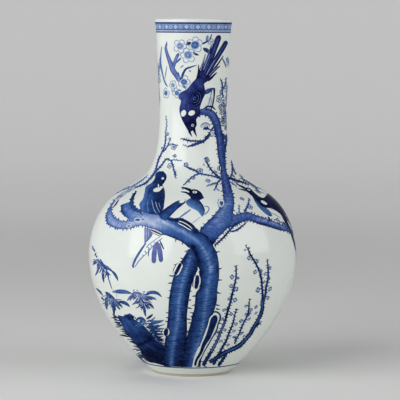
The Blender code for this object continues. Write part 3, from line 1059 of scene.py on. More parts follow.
neckTwigs = {
    "main": [
        ([(167, 42), (166, 48), (168, 56), (171, 64), (173, 70), (177, 76), (180, 82)],
         [0.9, 2.6, 3.4, 4.6, 5.2, 5, 3.6], 0.5),
        ([(179, 53), (176, 59), (174, 65), (173, 69)], [2.8, 3.2, 3.4, 3], 0.5),
    ],
    "dark": [
        ([(167, 41), (167, 46)], [0.5, 1], 0.8), ([(181, 58), (178, 61), (175, 64)], [1.8, 1.7, 1.2], 0.66),
        ([(160, 57), (160, 64), (162, 72), (164, 80)], [0.4, 0.9, 0.9, 0.5], 0.42),
        ([(162, 46), (161, 56), (161, 63), (162, 70), (164, 79), (166, 84), (168, 87)],
         [0.5, 1.1, 1.1, 1.4, 1.3, 1.4, 0.7], 0.6),
        ([(161, 65), (163, 74), (164, 80)], [0.5, 1, 0.5], 0.5),
        ([(167, 66), (166, 73), (165, 79)], [0.5, 1, 0.5], 0.45),
        ([(197, 65), (191, 67), (186, 69), (183, 74), (181, 80)], [0.6, 1.5, 2, 2.2, 2.4], 0.8),
        ([(178, 72), (179, 75), (180, 79)], [0.8, 1.4, 1.2], 0.72),
        ([(212, 34), (209, 40), (206, 42), (202, 44)], [0.7, 1.8, 1.8, 1.6], 0.82),
        ([(203, 48), (206, 50), (211, 53)], [2.2, 4.2, 3.2], 0.82),
        ([(222, 58), (224, 62), (226, 68)], [0.6, 1.4, 0.8], 0.72),
        ([(226, 58), (227, 63)], [1.4, 0.6], 0.66),
        ([(182, 84), (184, 86), (186, 89)], [1.2, 1.6, 1.6], 0.72),
        ([(171, 91), (176, 91), (181, 90)], [0.8, 1.2, 1.2], 0.6),
    ],
    "leaves": [
        ((186, 44), (191, 42), 3.4, 0.86, 0.1), ((193, 52), (199, 55), 2.2, 0.82, 0.1),
        ((206, 41), (208, 35), 2.6, 0.5, 0.0), ((210, 43), (213, 41), 1.4, 0.5, 0.0),
        ((180, 68), (184, 65), 1.6, 0.35, 0.0), ((189, 72), (191, 70), 2, 0.36, 0.0),
        ((185, 93), (178, 97), 2.6, 0.7, 0.1),
    ],
    "flowers": [
        (180, 46, 6.4, 0.36, 10), (195, 45, 7.4, 0.56, -20), (188, 55, 7, 0.42, 40),
        (184, 82, 5.8, 0.54, 0), (173, 85, 4.2, 0.34, 20), (166, 93, 4.8, 0.52, -10),
        (177, 93, 4.6, 0.46, 30), (211, 42, 3.0, 0.14, 0),
    ],
}


def paintNeckTwigs():
    t = neckTwigs
    piece = newPiece("neck_twigs")
    strokes(piece, t["main"], layer=2, hue=0.55, edge=0.24, streak=0.3)
    strokes(piece, t["dark"], layer=3, hue=0.2, streak=0.2)
    for base, tip, width, tone, bow in t["leaves"]:
        leaf(piece, base, tip, width, tone, bow, layer=4, hue=0.3)
    for x, y, size, tone, turn in t["flowers"]:
        blossom(piece, (x, y), size, tone, turn, 4, petalTone=0.36)
    finishPiece(piece)


# The old prunus tree. Its left limb runs over into the right-hand trunk, the left-hand trunk rises
# behind it, and one long limb climbs the neck to the hanging magpie.

prunusTrunks = {    # pairs: a point on each edge, x, y, x, y, from the top down
    "left": {
        "pairs": [
            (189, 249, 195, 248), (185, 255, 197, 255), (182, 260, 198, 262), (178, 268, 198, 269),
            (174, 275, 194, 277), (171, 287, 191, 288), (169, 299, 189, 299), (168, 316, 187, 316),
            (166, 333, 187, 333), (164, 349, 185, 350), (164, 366, 184, 367),
        ],
        "tones": (
            (0.9, 0.84, 0.84, 0.94), (0.93, 0.8, 0.78, 0.93), (0.9, 0.7, 0.74, 0.92),
            (0.88, 0.66, 0.74, 0.92), (0.9, 0.7, 0.82, 0.95), (0.94, 0.8, 0.96, 0.99),
        ),
        "touches": [
            ([(190, 256), (187, 268), (183, 279), (181, 290), (179, 302), (178, 317), (176, 331),
             (174, 342), (172, 357), (171, 367)], 2.0, -0.25),
            ([(176, 291), (175, 305), (174, 322)], 1.6, 0.06),
            ([(195, 262), (192, 276), (187, 288), (186, 305)], 1.7, 0.1),
        ],
        "hue": -0.15, "layer": 1, "gap": 2.4, "seed": 3, "hatch": 0.84, "barkFrom": 0.06,
        "prickles": (22, 2.4),
    },
    "right": {
        "pairs": [
            (162, 214, 161, 233), (170, 217, 168, 236), (178, 219, 175, 238), (186, 220, 181, 241),
            (193, 227, 185, 244), (200, 232, 189, 246), (207, 236, 192, 250), (212, 244, 195, 254),
            (216, 251, 197, 260), (218, 258, 198, 267), (219, 267, 199, 273), (219, 276, 200, 280),
            (218, 284, 200, 287), (217, 292, 196, 293), (217, 300, 195, 301), (215, 308, 194, 310),
            (213, 314, 192, 316), (210, 320, 191, 322), (207, 327, 189, 329), (204, 335, 187, 336),
            (201, 343, 185, 343), (197, 350, 184, 350), (194, 358, 183, 358), (192, 367, 182, 367),
        ],
        "tones": (
            # The first row's pale middle, where the left limb runs in, is partly a painted highlight: the
            # same sheen of the key light, painted into the colour.
            (0.5, 0.4, 0.42, 0.64), (0.86, 0.72, 0.6, 0.76), (0.94, 0.76, 0.64, 0.82),
            (0.9, 0.7, 0.7, 0.94), (0.84, 0.68, 0.72, 0.97), (0.86, 0.7, 0.76, 0.98),
            (0.84, 0.7, 0.76, 0.92), (0.86, 0.72, 0.76, 0.9), (0.84, 0.7, 0.8, 0.92),
            (0.76, 0.72, 0.84, 0.95), (0.64, 0.72, 0.9, 0.97), (0.54, 0.78, 0.94, 0.98),
        ),
        "touches": [
            ([(163, 222), (170, 225), (178, 229), (188, 235), (197, 241), (204, 250), (208, 259),
             (210, 271), (208, 285), (206, 299), (204, 316), (202, 331), (198, 345), (194, 357)], 2.1,
             -0.24),
            ([(193, 247), (198, 259), (201, 268)], 2.4, 0.12), ([(196, 246), (199, 246)], 3.2, 0.1),
            ([(209, 240), (211, 243)], 3, 0.12), ([(211, 267), (212, 272)], 2.2, -0.16),
            ([(184, 231), (186, 232)], 1.6, -0.12), ([(172, 231), (181, 235)], 2.4, 0.08),
        ],
        "hue": -0.1, "layer": 3, "gap": 2.5, "seed": 5, "hatch": 0.84, "barkFrom": 0.26,
        "prickles": (26, 2.2),
    },
    "head": {
        "pairs": [
            (223, 194, 233, 193), (223, 200, 234, 200), (221, 205, 234, 206), (218, 210, 233, 213),
            (214, 215, 232, 220), (209, 220, 230, 225), (205, 224, 225, 231), (201, 229, 218, 238),
            (199, 234, 213, 245), (196, 238, 207, 252),
        ],
        "tones": (
            (0.72, 0.56, 0.56, 0.76), (0.74, 0.5, 0.54, 0.76), (0.76, 0.5, 0.56, 0.74),
            (0.8, 0.56, 0.58, 0.74), (0.84, 0.64, 0.66, 0.8), (0.94, 0.86, 0.88, 0.94),
        ),
        "touches": [
            ([(227, 200), (223, 210), (216, 219), (208, 228)], 2.2, -0.12),
            ([(206, 238), (212, 242)], 3.2, 0.14), ([(218, 226), (224, 222)], 1.6, -0.06),
        ],
        "hue": 0.2, "layer": 2, "gap": 2.4, "seed": 8, "hatch": 0.76, "barkFrom": 0.0,
        "prickles": (5.5, 2.2),
    },
    "toLeft": {    # the left limb, from the trunk out to its hooked tip
        "pairs": [
            (166, 215, 165, 235), (158, 213, 157, 231), (150, 212, 149, 228), (143, 213, 143, 226),
            (138, 215, 137, 226), (133, 218, 132, 228), (129, 220, 126, 229), (124, 221, 119, 229),
            (118, 219, 112, 227), (114, 216, 107, 223), (112, 212, 106, 218), (112, 208, 107, 212),
            (113, 204, 110, 206), (115, 200, 115, 199),
        ],
        # The pale middle of these rows is partly the wash's own paleness and partly a painted highlight:
        # the key light's sheen on the glaze, painted into the limb's colour.
        "tones": (
            (0.62, 0.36, 0.4, 0.7), (0.58, 0.28, 0.26, 0.54), (0.56, 0.22, 0.22, 0.48),
            (0.52, 0.22, 0.24, 0.5), (0.54, 0.3, 0.28, 0.54), (0.56, 0.38, 0.34, 0.66),
            (0.62, 0.36, 0.4, 0.76), (0.72, 0.5, 0.54, 0.8), (0.82, 0.66, 0.64, 0.82),
        ),
        "touches": [
            ([(122, 225), (128, 226)], 1.8, 0.1), ([(109, 214), (111, 208)], 1.3, 0.12),
            ([(146, 215), (152, 217)], 2, 0.08), ([(150, 224), (158, 227)], 2.2, -0.08),
        ],
        "hue": 0.2, "layer": 1, "gap": 6, "seed": 21, "hatch": 0.52, "barkFrom": 0.2, "prickles": (3.6, 2),
    },
    "toLeftUpper": {    # the broad stub above it
        "pairs": [
            (121, 205, 132, 201), (121, 208, 134, 205), (121, 212, 137, 209), (123, 215, 140, 212),
            (127, 218, 142, 216), (131, 222, 143, 220),
        ],
        "tones": (
            (0.8, 0.66, 0.72), (0.78, 0.58, 0.62), (0.74, 0.5, 0.5), (0.68, 0.44, 0.4), (0.6, 0.4, 0.3),
            (0.5, 0.36, 0.3),
        ),
        "touches": [
            ([(125, 207), (126, 210)], 1.5, -0.14), ([(122, 209), (124, 214), (128, 219)], 1.2, 0.14),
            ([(131, 208), (134, 212)], 1.8, 0.1),
        ],
        "hue": 0.1, "layer": 2, "gap": 8, "seed": 22, "hatch": 0.66, "barkFrom": 0.1, "prickles": (5, 1.6),
    },
}
prunusLimbs = {
    "toNeck": {
        "path": [
            (197, 116), (201, 112), (206, 112), (211, 114), (215, 120), (217, 126), (218, 132), (220, 140),
            (221, 150), (222, 160), (223, 170), (225, 180), (227, 190), (228, 196), (228, 203),
        ],
        "width": [4, 7.6, 8.4, 7.4, 8, 5.8, 9.6, 9],
        "tone": [0.6, 0.66, 0.7, 0.74, 0.74, 0.72, 0.7, 0.68], "hue": 0.45, "layer": 2, "gap": 2.4,
        "seed": 12, "prickles": (4.6, 2),
        "touches": [
            ([(203, 110), (210, 112), (216, 121), (219, 134), (220, 148), (221, 160), (223, 172),
             (226, 186), (228, 197)], 1.3, -0.12),
        ],
    },
    "toRight": {
        "path": [
            (222, 223), (232, 221), (240, 218), (247, 216), (253, 218), (260, 220), (267, 222), (275, 225),
            (283, 228), (290, 231), (293, 233),
        ],
        "width": [13, 9, 7.4, 6.6, 5, 1.4],
        "tone": 0.64, "hue": 0.3, "layer": 1, "gap": 3, "seed": 17, "prickles": (3.2, 2.2),
        "touches": [
            ([(228, 220), (240, 216), (252, 216)], 1.5, -0.1),
            ([(250, 221), (264, 224), (280, 230)], 1.1, 0.16), ([(258, 219), (264, 221)], 2.2, -0.24),
            ([(266, 220), (270, 223)], 1.6, -0.16), ([(273, 223), (278, 225)], 1.6, -0.26),
            ([(281, 226), (285, 228)], 1.4, -0.2),
        ],
    },
    "spur": {
        "path": [(137, 191), (134, 195), (132, 200), (132, 205), (135, 209), (142, 212)],
        "width": [0.6, 2.4, 3.4, 3.6, 3.6, 3], "tone": [0.86, 0.86, 0.76, 0.68], "hue": -0.1, "layer": 3,
        "gap": 9, "seed": 24, "prickles": (4, 1.4),
        "touches": [],
    },
}
prunusBark = {
    "slots": [    # holes in the bark: path, widths of outline, white rim and dark heart
        ([(181, 263), (178, 269), (175, 275)], [7.8, 8.2, 7.8], [6.2, 6.6, 6.2], [3, 3.6, 3.2]),
        ([(197.4, 275), (197, 282), (195.6, 289)], [7.8, 9.2, 7.2], [5.8, 7, 5.4], [3.6, 4.6, 3.2]),
        ([(151, 230), (156, 232), (162, 235)], [4.6, 5, 4.4], [3.4, 3.8, 3.2], [1.4, 1.7, 1.2]),
        ([(178, 222), (183, 224), (188, 227), (192, 230)], [5.4, 6.4, 6.4, 4.6], [3.4, 4, 4, 3],
         [1.5, 2.2, 2.2, 1.4]),
        ([(167, 328), (166, 332), (166, 336)], [9, 10, 9], [6.6, 7.4, 6.6], [3.6, 4.6, 3.6]),
        ([(219, 166), (219, 171)], [4, 4], [2.8, 2.8], [1.4, 1.4]),
    ],
    "longSlot": {    # the tall hole low on the right: each line from the top down
        "outline": (
            [(209, 317), (211, 314), (214, 312), (217, 312), (220, 315), (220, 319), (218, 324), (217, 329),
             (215, 333), (212, 338), (208, 345), (204, 352), (200, 361), (198, 367)],
            [0.8, 1.6, 1.4, 1.2, 0.9],
        ),
        "white": (
            [(216, 314), (214, 320), (211, 329), (208, 337), (204, 344), (201, 352), (196, 361),
             (195, 366)],
            [6.8, 9.4, 8.2, 7.7, 6.2, 5.2, 4.7, 4.4],
        ),
        "heart": (
            [(216, 315), (214, 320), (211, 329), (208, 337), (204, 344), (201, 352), (196, 361),
             (195, 366)],
            [4.4, 7.2, 6, 5.4, 3.9, 2.9, 2.4, 2.2],
        ),
    },
    "rings": [(138, 220, 3.4, 0.62), (129, 226, 2.6, 0.45), (221, 203, 2.7, 1.4)],
    "lines": [    # dark drawing on the bark and under it
        ([(113, 208), (116, 204), (119, 200)], [0.6, 1.5, 0.6], 0.9),
        ([(167, 219), (173, 220), (180, 220), (186, 223), (192, 227), (196, 231), (201, 234)],
         [1.6, 3, 4.4, 5.4, 5, 3.6, 2], 0.93),
        ([(163, 234), (172, 237), (183, 242), (190, 248)], [0.6, 1.2, 1.4, 1.4], 0.9),
        ([(198, 267), (199, 271)], [0.5, 1.7], 0.02),
        ([(196, 273), (194, 280), (192, 287)], [0.4, 0.9, 0.5], 0.85),
        ([(252, 221), (260, 224), (268, 226), (277, 229), (286, 231)], [0.8, 1.3, 1.3, 1.2, 0.8], 0.86),
        ([(232, 226), (240, 222), (247, 221)], [0.8, 1.1, 0.8], 0.86),
        ([(219, 199), (218, 203), (219, 207)], [0.6, 1.2, 0.6], 0.85),
        ([(127, 227), (132, 227)], [0.6, 1], 0.75),
    ],
    "thorns": [
        (190, 245, 150), (187, 252, 200), (183, 259, 205), (177, 265, 190), (172, 276, 190),
        (171, 283, 175), (170, 298, 185), (169, 313, 190), (168, 322, 200), (190, 300, 170), (189, 308, 10),
        (188, 319, 10), (195, 296, 175), (195, 305, 170), (193, 313, 190), (191, 323, 185), (217, 252, -10),
        (219, 269, -20), (219, 280, 0), (218, 293, 5), (217, 305, 10), (217, 309, 10), (183, 242, 110),
        (176, 239, 100), (198, 231, 245), (201, 229, 285), (219, 323, 15), (217, 332, 10),
    ],
}


def paintPrunus():
    for name, part in prunusTrunks.items():
        piece = newPiece("prunus_" + name)
        edges = edgesOf(part["pairs"])
        between(piece, *edges, part["tones"], part["layer"], part["hue"], 0.5, part["touches"], 0.06, True)
        hatch(piece, edges, part["gap"], part["hatch"], part["layer"] + 1, part["seed"], part["barkFrom"],
              hue=part["hue"])
        prickles(piece, edges, *part["prickles"], part["seed"], layer=part["layer"], hue=part["hue"])
        finishPiece(piece)
    piece = newPiece("prunus_limbs")
    for limb in prunusLimbs.values():
        brush(piece, limb["path"], limb["width"], limb["tone"], limb["layer"], limb["hue"], edge=0.17,
              tips=(0.1, 0.2), streak=0.4, touches=limb["touches"], bark=True)
        sides = sidesOf(limb["path"], limb["width"])
        hatch(piece, sides, limb["gap"], 0.78, limb["layer"] + 1, limb["seed"], hue=limb["hue"])
        prickles(piece, sides, *limb["prickles"], limb["seed"], layer=limb["layer"], hue=limb["hue"])
    finishPiece(piece)
    piece = newPiece("prunus_bark")
    for path, outline, rim, heart in prunusBark["slots"]:
        brush(piece, path, outline, 0.9, 5, tips=(0.5, 0.5))
        brush(piece, path, rim, 0.02, 6, tips=(0.5, 0.5))
        brush(piece, path, heart, 0.95, 7, edge=-0.12, tips=(0.5, 0.5))
    hole = prunusBark["longSlot"]
    brush(piece, *hole["white"], 0.02, 6, tips=(0.5, 0.3))
    brush(piece, *hole["heart"], 0.95, 7, edge=-0.1, tips=(0.5, 0.3))
    brush(piece, *hole["outline"], 0.88, 8)
    for x, y, size, squash in prunusBark["rings"]:
        brush(piece, circle((x, y), size, squash=squash), 0.9, 0.1, 6, ring=True)
        oval(piece, (x, y), (size * 0.5, size * 0.5 * squash), 0, 0.7, 6)
    strokes(piece, prunusBark["lines"], layer=5, hue=0.1, streak=0.2)
    thorns(piece, prunusBark["thorns"], layer=4, hue=0.1)
    finishPiece(piece)


# The magpie on the left limb, its head turned back and its long tail hanging below the limb

leftMagpie = {
    "left": [
        (158.6, 171.4), (155.6, 174.4), (154.9, 178.6), (151.6, 183), (145.9, 187.1), (144.7, 193),
        (143, 199), (139.4, 204.6), (142.4, 212.6),
    ],
    "right": [
        (163.4, 171.2), (166.6, 175.4), (166, 180), (162.6, 184.4), (164.5, 190), (165, 196), (164.4, 202),
        (162.9, 209.8), (157.4, 215.2),
    ],
    "tones": (
        (0.86, 0.9, 0.86), (0.9, 0.9, 0.88), (0.88, 0.92, 0.94), (0.66, 0.88, 0.92), (0.6, 0.86, 0.9),
        (0.6, 0.84, 0.9), (0.6, 0.86, 0.88), (0.66, 0.84, 0.86),
    ),
    "touches": [
        ([(143.6, 203), (142.6, 208)], 2.4, -0.1), ([(157.5, 196), (159, 204)], 2.6, 0.06),
        ([(150, 189), (148, 197)], 1.2, 0.12),
    ],
    "flank": ([(142.8, 211), (143.4, 220), (144.3, 230)], [(158.4, 213.4), (155.6, 222), (152.4, 231)]),
    "feathers": [
        ([(151.8, 199.4), (152.6, 204), (154.7, 210.8), (157.6, 214.4)], [0.6, 0.8, 0.8, 0.4], 0.34),
        ([(155.6, 201.4), (157, 207), (160.2, 213.4)], [0.6, 0.8, 0.4], 0.3),
        ([(158.8, 202.6), (159.6, 206), (160.9, 209)], [0.5, 0.7, 0.4], 0.42),
        ([(148.4, 200), (147.4, 206), (148.4, 212)], [0.5, 0.8, 0.5], 0.46),
    ],
    "beak": [([(164.4, 180.4), (163, 183), (160.6, 185.8)], [2.4, 1.8, 0.4], 1.0)],
    "bib": [((157.4, 190), (4.1, 2.1), -14), ((161.4, 187.8), (1.7, 1.3), -30)],
    "slit": [([(158.4, 184), (158.8, 188.6)], [0.9, 1.2], 0.02)],
    "eye": ((162.9, 178.7), (1.35, 1.05), -35),
    "wingTip": (
        [(144.4, 227.6), (144.3, 236), (144.4, 243.8)], [(151.4, 229.4), (152.6, 234.2), (148.4, 240.4)],
    ),
    "tail": [
        ([(155.4, 244.4), (154.2, 254), (153.7, 263.4)], [3.4, 5, 4.2], [0.46, 0.58]),
        ([(158.4, 242.6), (159.9, 252), (161.2, 262.2)], [3.4, 5, 4.2], [0.46, 0.6]),
        ([(157, 241.6), (156.8, 248.6)], [3, 4], [0.5, 0.56]),
    ],
    "tailDark": [
        ([(159.6, 240), (161.6, 244.4), (163.8, 249.4)], [0.8, 1.4, 1.1], 0.84),
        ([(149, 249), (148.2, 256.6)], [1.3, 0.7], 0.7),
        ([(146, 242.8), (142, 248.6), (138, 254.8), (134.6, 261), (133.1, 266.8), (134.6, 267.4)],
         [1.2, 2, 2.2, 2.1, 1.8, 0.8], 0.62),
        ([(148, 252.2), (143.4, 256.2), (139, 261), (134.8, 267)], [0.6, 0.8, 0.8, 0.7], 0.56),
        ([(162.4, 238), (156, 243.2), (150.4, 249), (148, 252.4)], [0.6, 0.8, 0.8, 0.6], 0.48),
        ([(160.6, 236.2), (154, 240.6), (148.4, 245), (146, 248)], [0.5, 0.7, 0.8, 0.6], 0.4),
    ],
    "bars": [    # the soft cross bars of the pale feather
        ([(153.6, 241.6), (155, 243.6)], [1.2, 1.2], 0.34),
        ([(150.6, 244.2), (152, 246.6)], [1.4, 1.4], 0.28),
        ([(147.8, 246.6), (149.4, 249.4)], [1.2, 1.6], 0.34),
        ([(144.6, 250.6), (146.4, 253.4)], [1.4, 1.2], 0.26), ([(142, 254.2), (143.6, 256)], [1.1, 1], 0.3),
        ([(139.8, 257.6), (141, 258.8)], [1, 0.9], 0.26), ([(146.2, 229), (146.3, 240)], [0.6, 0.4], 0.16),
        ([(148.4, 229.4), (148.4, 238)], [0.6, 0.4], 0.18),
    ],
}


def paintLeftMagpie(name="left_magpie", canvas=onPhoto, wholeBody=False):
    m = leftMagpie
    piece = newPiece(name, canvas)
    if wholeBody:       # where no thick limb hides the middle of the bird
        between(piece, *m["flank"], ((0.62, 0.8, 0.84), (0.5, 0.6, 0.66)), 4, -0.1, 0.3)
    between(piece, m["left"], m["right"], m["tones"], 5, -0.05, 0.3, m["touches"])
    strokes(piece, m["feathers"], layer=6, hue=0.1)
    strokes(piece, m["beak"], layer=6, hue=0.3, tips=(0.2, 0.3))
    for centre, radii, tilt in m["bib"]:
        oval(piece, centre, radii, tilt, 0.0, 7)
    strokes(piece, m["slit"], layer=7)
    oval(piece, *m["eye"], 0.02, 7)
    between(piece, *m["wingTip"], ((0.46, 0.5), (0.46, 0.5)), 4, 0.7, 0.3)
    strokes(piece, m["tail"], layer=4, hue=0.8, streak=0.3, edge=0.06)
    strokes(piece, m["bars"], layer=5, hue=0.2)
    strokes(piece, m["tailDark"], layer=4, hue=0.5, streak=0.2)
    finishPiece(piece)


# The magpie in the middle, crouching on the fork with its beak open

middleMagpie = {
    "head": (
        [(189.6, 191.4), (191.6, 189.9), (195.9, 189.7), (200.8, 192.6), (204, 198.2)],
        [(188.6, 194.6), (190.4, 197.4), (193.6, 200.4), (197.4, 201.2), (200.6, 199.8)],
    ),
    "beak": [
        ([(181, 187.3), (186, 188.7), (191.4, 191)], [0.7, 2, 3], 0.98),
        ([(180.6, 192), (186, 192.8), (190.8, 195.4)], [0.6, 1.6, 2.6], 0.96),
    ],
    "breast": (
        [(192.4, 197.6), (188.2, 199.6), (186, 201.6), (187.2, 205), (192, 208.4), (197.4, 211.2),
         (201.6, 216.6)],
        [(197.8, 199.6), (199.8, 202.4), (202.6, 206), (204, 209), (204.8, 211.4), (204, 214),
         (202.6, 216.6)],
    ),
    "breastTones": ((0.86, 0.92), (0.6, 0.86), (0.5, 0.76), (0.4, 0.7), (0.34, 0.68), (0.3, 0.66)),
    "wing": (
        [(185.2, 199.2), (176.8, 201.3), (169.1, 205.9), (162.4, 210.7), (158.6, 214), (161, 219)],
        [(185.6, 202.6), (181.4, 206), (176.8, 209.7), (170.6, 215.9), (168, 218.6), (165.6, 221)],
    ),
    "wingTones": (
        (0.86, 0.8, 0.86), (0.9, 0.8, 0.84), (0.9, 0.82, 0.8), (0.88, 0.78, 0.74), (0.84, 0.7, 0.78),
    ),
    "patch": ((182.3, 201.1), (3.1, 1.8), -26),
    "eye": ((194.8, 192.4), (2.3, 1.2), 4),
    "lines": [
        ([(191, 209.4), (186, 213), (181, 216.6), (178.4, 218.8)], [0.9, 1.4, 1.3, 0.7], 0.5),
        ([(200.6, 217), (196.4, 220), (191.8, 223.4)], [0.5, 0.6, 0.4], 0.3),
        ([(204.4, 206.6), (206.8, 206.4), (208.9, 208.4), (207.6, 212), (204.2, 214.8)],
         [0.7, 0.8, 0.9, 0.9, 1], 0.5),
        ([(198.6, 200.4), (202.4, 205.6), (204.6, 211)], [1, 1.3, 1], 0.96),
        ([(176, 218.4), (178.4, 219.8), (182, 220.6)], [1, 1.4, 0.8], 0.86),
    ],
}


def paintMiddleMagpie():
    m = middleMagpie
    piece = newPiece("middle_magpie")
    between(piece, *m["wing"], m["wingTones"], 6, 0.05, 0.3, edge=0.1)
    between(piece, *m["breast"], m["breastTones"], 6, -0.3, 0.2)
    between(piece, *m["head"], ((0.94, 0.94), (0.98, 0.94), (1.0, 0.9)), 7, 0.2, 0.2)
    strokes(piece, m["beak"], layer=7, hue=0.2, tips=(0.3, 0.2))
    strokes(piece, m["lines"], layer=8, hue=0.1)
    oval(piece, *m["patch"], 0.0, 8)
    oval(piece, *m["eye"], 0.03, 8)
    oval(piece, (194.6, 192.4), (0.8, 0.7), 0, 0.8, 9)
    finishPiece(piece)


# The magpie on the right limb, leaning down the shoulder to the left

rightMagpie = {
    "head": (
        [(244.6, 188), (247.4, 187.8), (250.6, 189), (253, 191.8)],
        [(244.8, 190.6), (247.2, 192.2), (249.6, 194.2), (251.6, 196)],
    ),
    "beak": [
        ([(235.6, 183.6), (239.6, 185.8), (245.2, 188.6)], [0.5, 1.4, 2.2], 0.95),
        ([(237.8, 189), (242, 189.8), (246.4, 191)], [0.5, 1.2, 1.8], 0.95),
    ],
    "breast": (
        [(252, 195.4), (254.8, 201.6), (258.6, 207.2), (264, 212.6), (269.4, 216.4)],
        [(257.4, 199), (261.6, 205), (266.6, 208.4), (270, 211.6), (272.4, 216.2)],
    ),
    "breastTones": ((0.86, 0.86), (0.74, 0.7), (0.62, 0.56), (0.62, 0.62), (0.7, 0.76)),
    "body": [
        (250.6, 189.4, 249.6, 194), (254, 192.6, 252.4, 196.8), (257.2, 195.4, 255.4, 199.8),
        (260.6, 197.4, 258, 203), (263.6, 198, 261.2, 206), (266, 195.6, 265.2, 207.8),
        (268.4, 193.6, 268.8, 208), (272.8, 198, 272.6, 209.2), (277.2, 202.6, 277.6, 212),
        (281.5, 207.8, 281, 215), (284.2, 213.8, 282.6, 218), (286.6, 219.4, 284.6, 221.8),
        (288.6, 224.6, 287, 226), (290.4, 229, 289.6, 229.8),
    ],
    "bodyTones": ((0.96, 0.94), (0.96, 0.96), (0.97, 0.97), (1.0, 0.96), (0.98, 0.94), (0.94, 0.9)),
    "patch": ((263.8, 202.8), (3.6, 1.3), 30),
    "eye": ((248.7, 190.1), (1.5, 0.75), 20),
    "lines": [
        ([(270.6, 212.6), (275.6, 215), (280.4, 218.2)], [0.5, 0.7, 0.4], 0.36),
        ([(272.6, 219), (278, 220.4), (283, 224)], [0.5, 0.8, 0.5], 0.5),
        ([(267.6, 216.6), (269.8, 219.6), (268.4, 222)], [1.4, 1.4, 0.9], 0.86),
        ([(283.4, 222), (286, 226), (288.8, 228.6)], [0.8, 1.4, 0.8], 0.8),
    ],
    "flankMiddle": (80, 240),       # degrees and mm
    "wingFeathers": [
        ([(-8, -8), (8, -9), (22, -5), (33, 3)], [5, 6.4, 5.4, 3.4]),
        ([(-8, -3), (8, -3), (22, 3), (33, 12)], [6, 7, 5.6, 3.6]),
        ([(-8, 2), (6, 3), (18, 10), (28, 20)], [6, 7, 5.6, 3.6]),
        ([(-8, 7), (2, 9), (13, 17), (21, 27)], [6, 7, 5.4, 3.4]),
        ([(-9, 12), (-2, 15), (6, 23), (12, 33)], [6, 6.4, 5, 3]),
        ([(-10, 14), (-5, 26), (2, 40), (10, 54), (16, 66)], [6, 6, 5.6, 5, 3.4]),
        ([(-10, 18), (-8, 30), (-3, 42), (3, 52)], [3, 4, 4, 2.6]),
    ],
    "wingSlits": [
        ([(4, -6), (16, -3), (28, 5)], [0.4, 0.8, 0.5], 0.5),
        ([(4, 0), (15, 5), (25, 14)], [0.4, 0.8, 0.5], 0.5),
        ([(2, 6), (11, 12), (20, 22)], [0.4, 0.8, 0.5], 0.5),
        ([(-3, 12), (5, 18), (11, 27)], [0.4, 0.8, 0.5], 0.5),
        ([(-8, 28), (-2, 41), (6, 54)], [0.4, 0.7, 0.5], 0.55),
    ],
}


def paintRightMagpie():
    m = rightMagpie
    piece = newPiece("right_magpie")
    between(piece, *m["breast"], m["breastTones"], 5, -0.3, 0.25)
    between(piece, *edgesOf(m["body"]), m["bodyTones"], 6, 0.4, 0.3)
    between(piece, *m["head"], ((0.94, 0.94), (0.98, 0.96)), 7, 0.25, 0.2)
    strokes(piece, m["beak"], layer=7, hue=0.2, tips=(0.3, 0.2))
    strokes(piece, m["lines"], layer=6)
    oval(piece, *m["patch"], 0.0, 8)
    oval(piece, *m["eye"], 0.03, 8)
    oval(piece, (248.6, 190.1), (0.55, 0.5), 0, 0.8, 9)
    piece["canvas"] = roundFrom(*m["flankMiddle"])
    for path, width in m["wingFeathers"]:
        brush(piece, path, width, [1.0, 0.94, 0.84], 5, 0.4, streak=0.25, edge=0.06, tips=(0.4, 0.4))
    strokes(piece, m["wingSlits"], layer=7, hue=0.3)
    finishPiece(piece)


# Fine twigs and flowers round the long limb, on the neck and on both shoulders

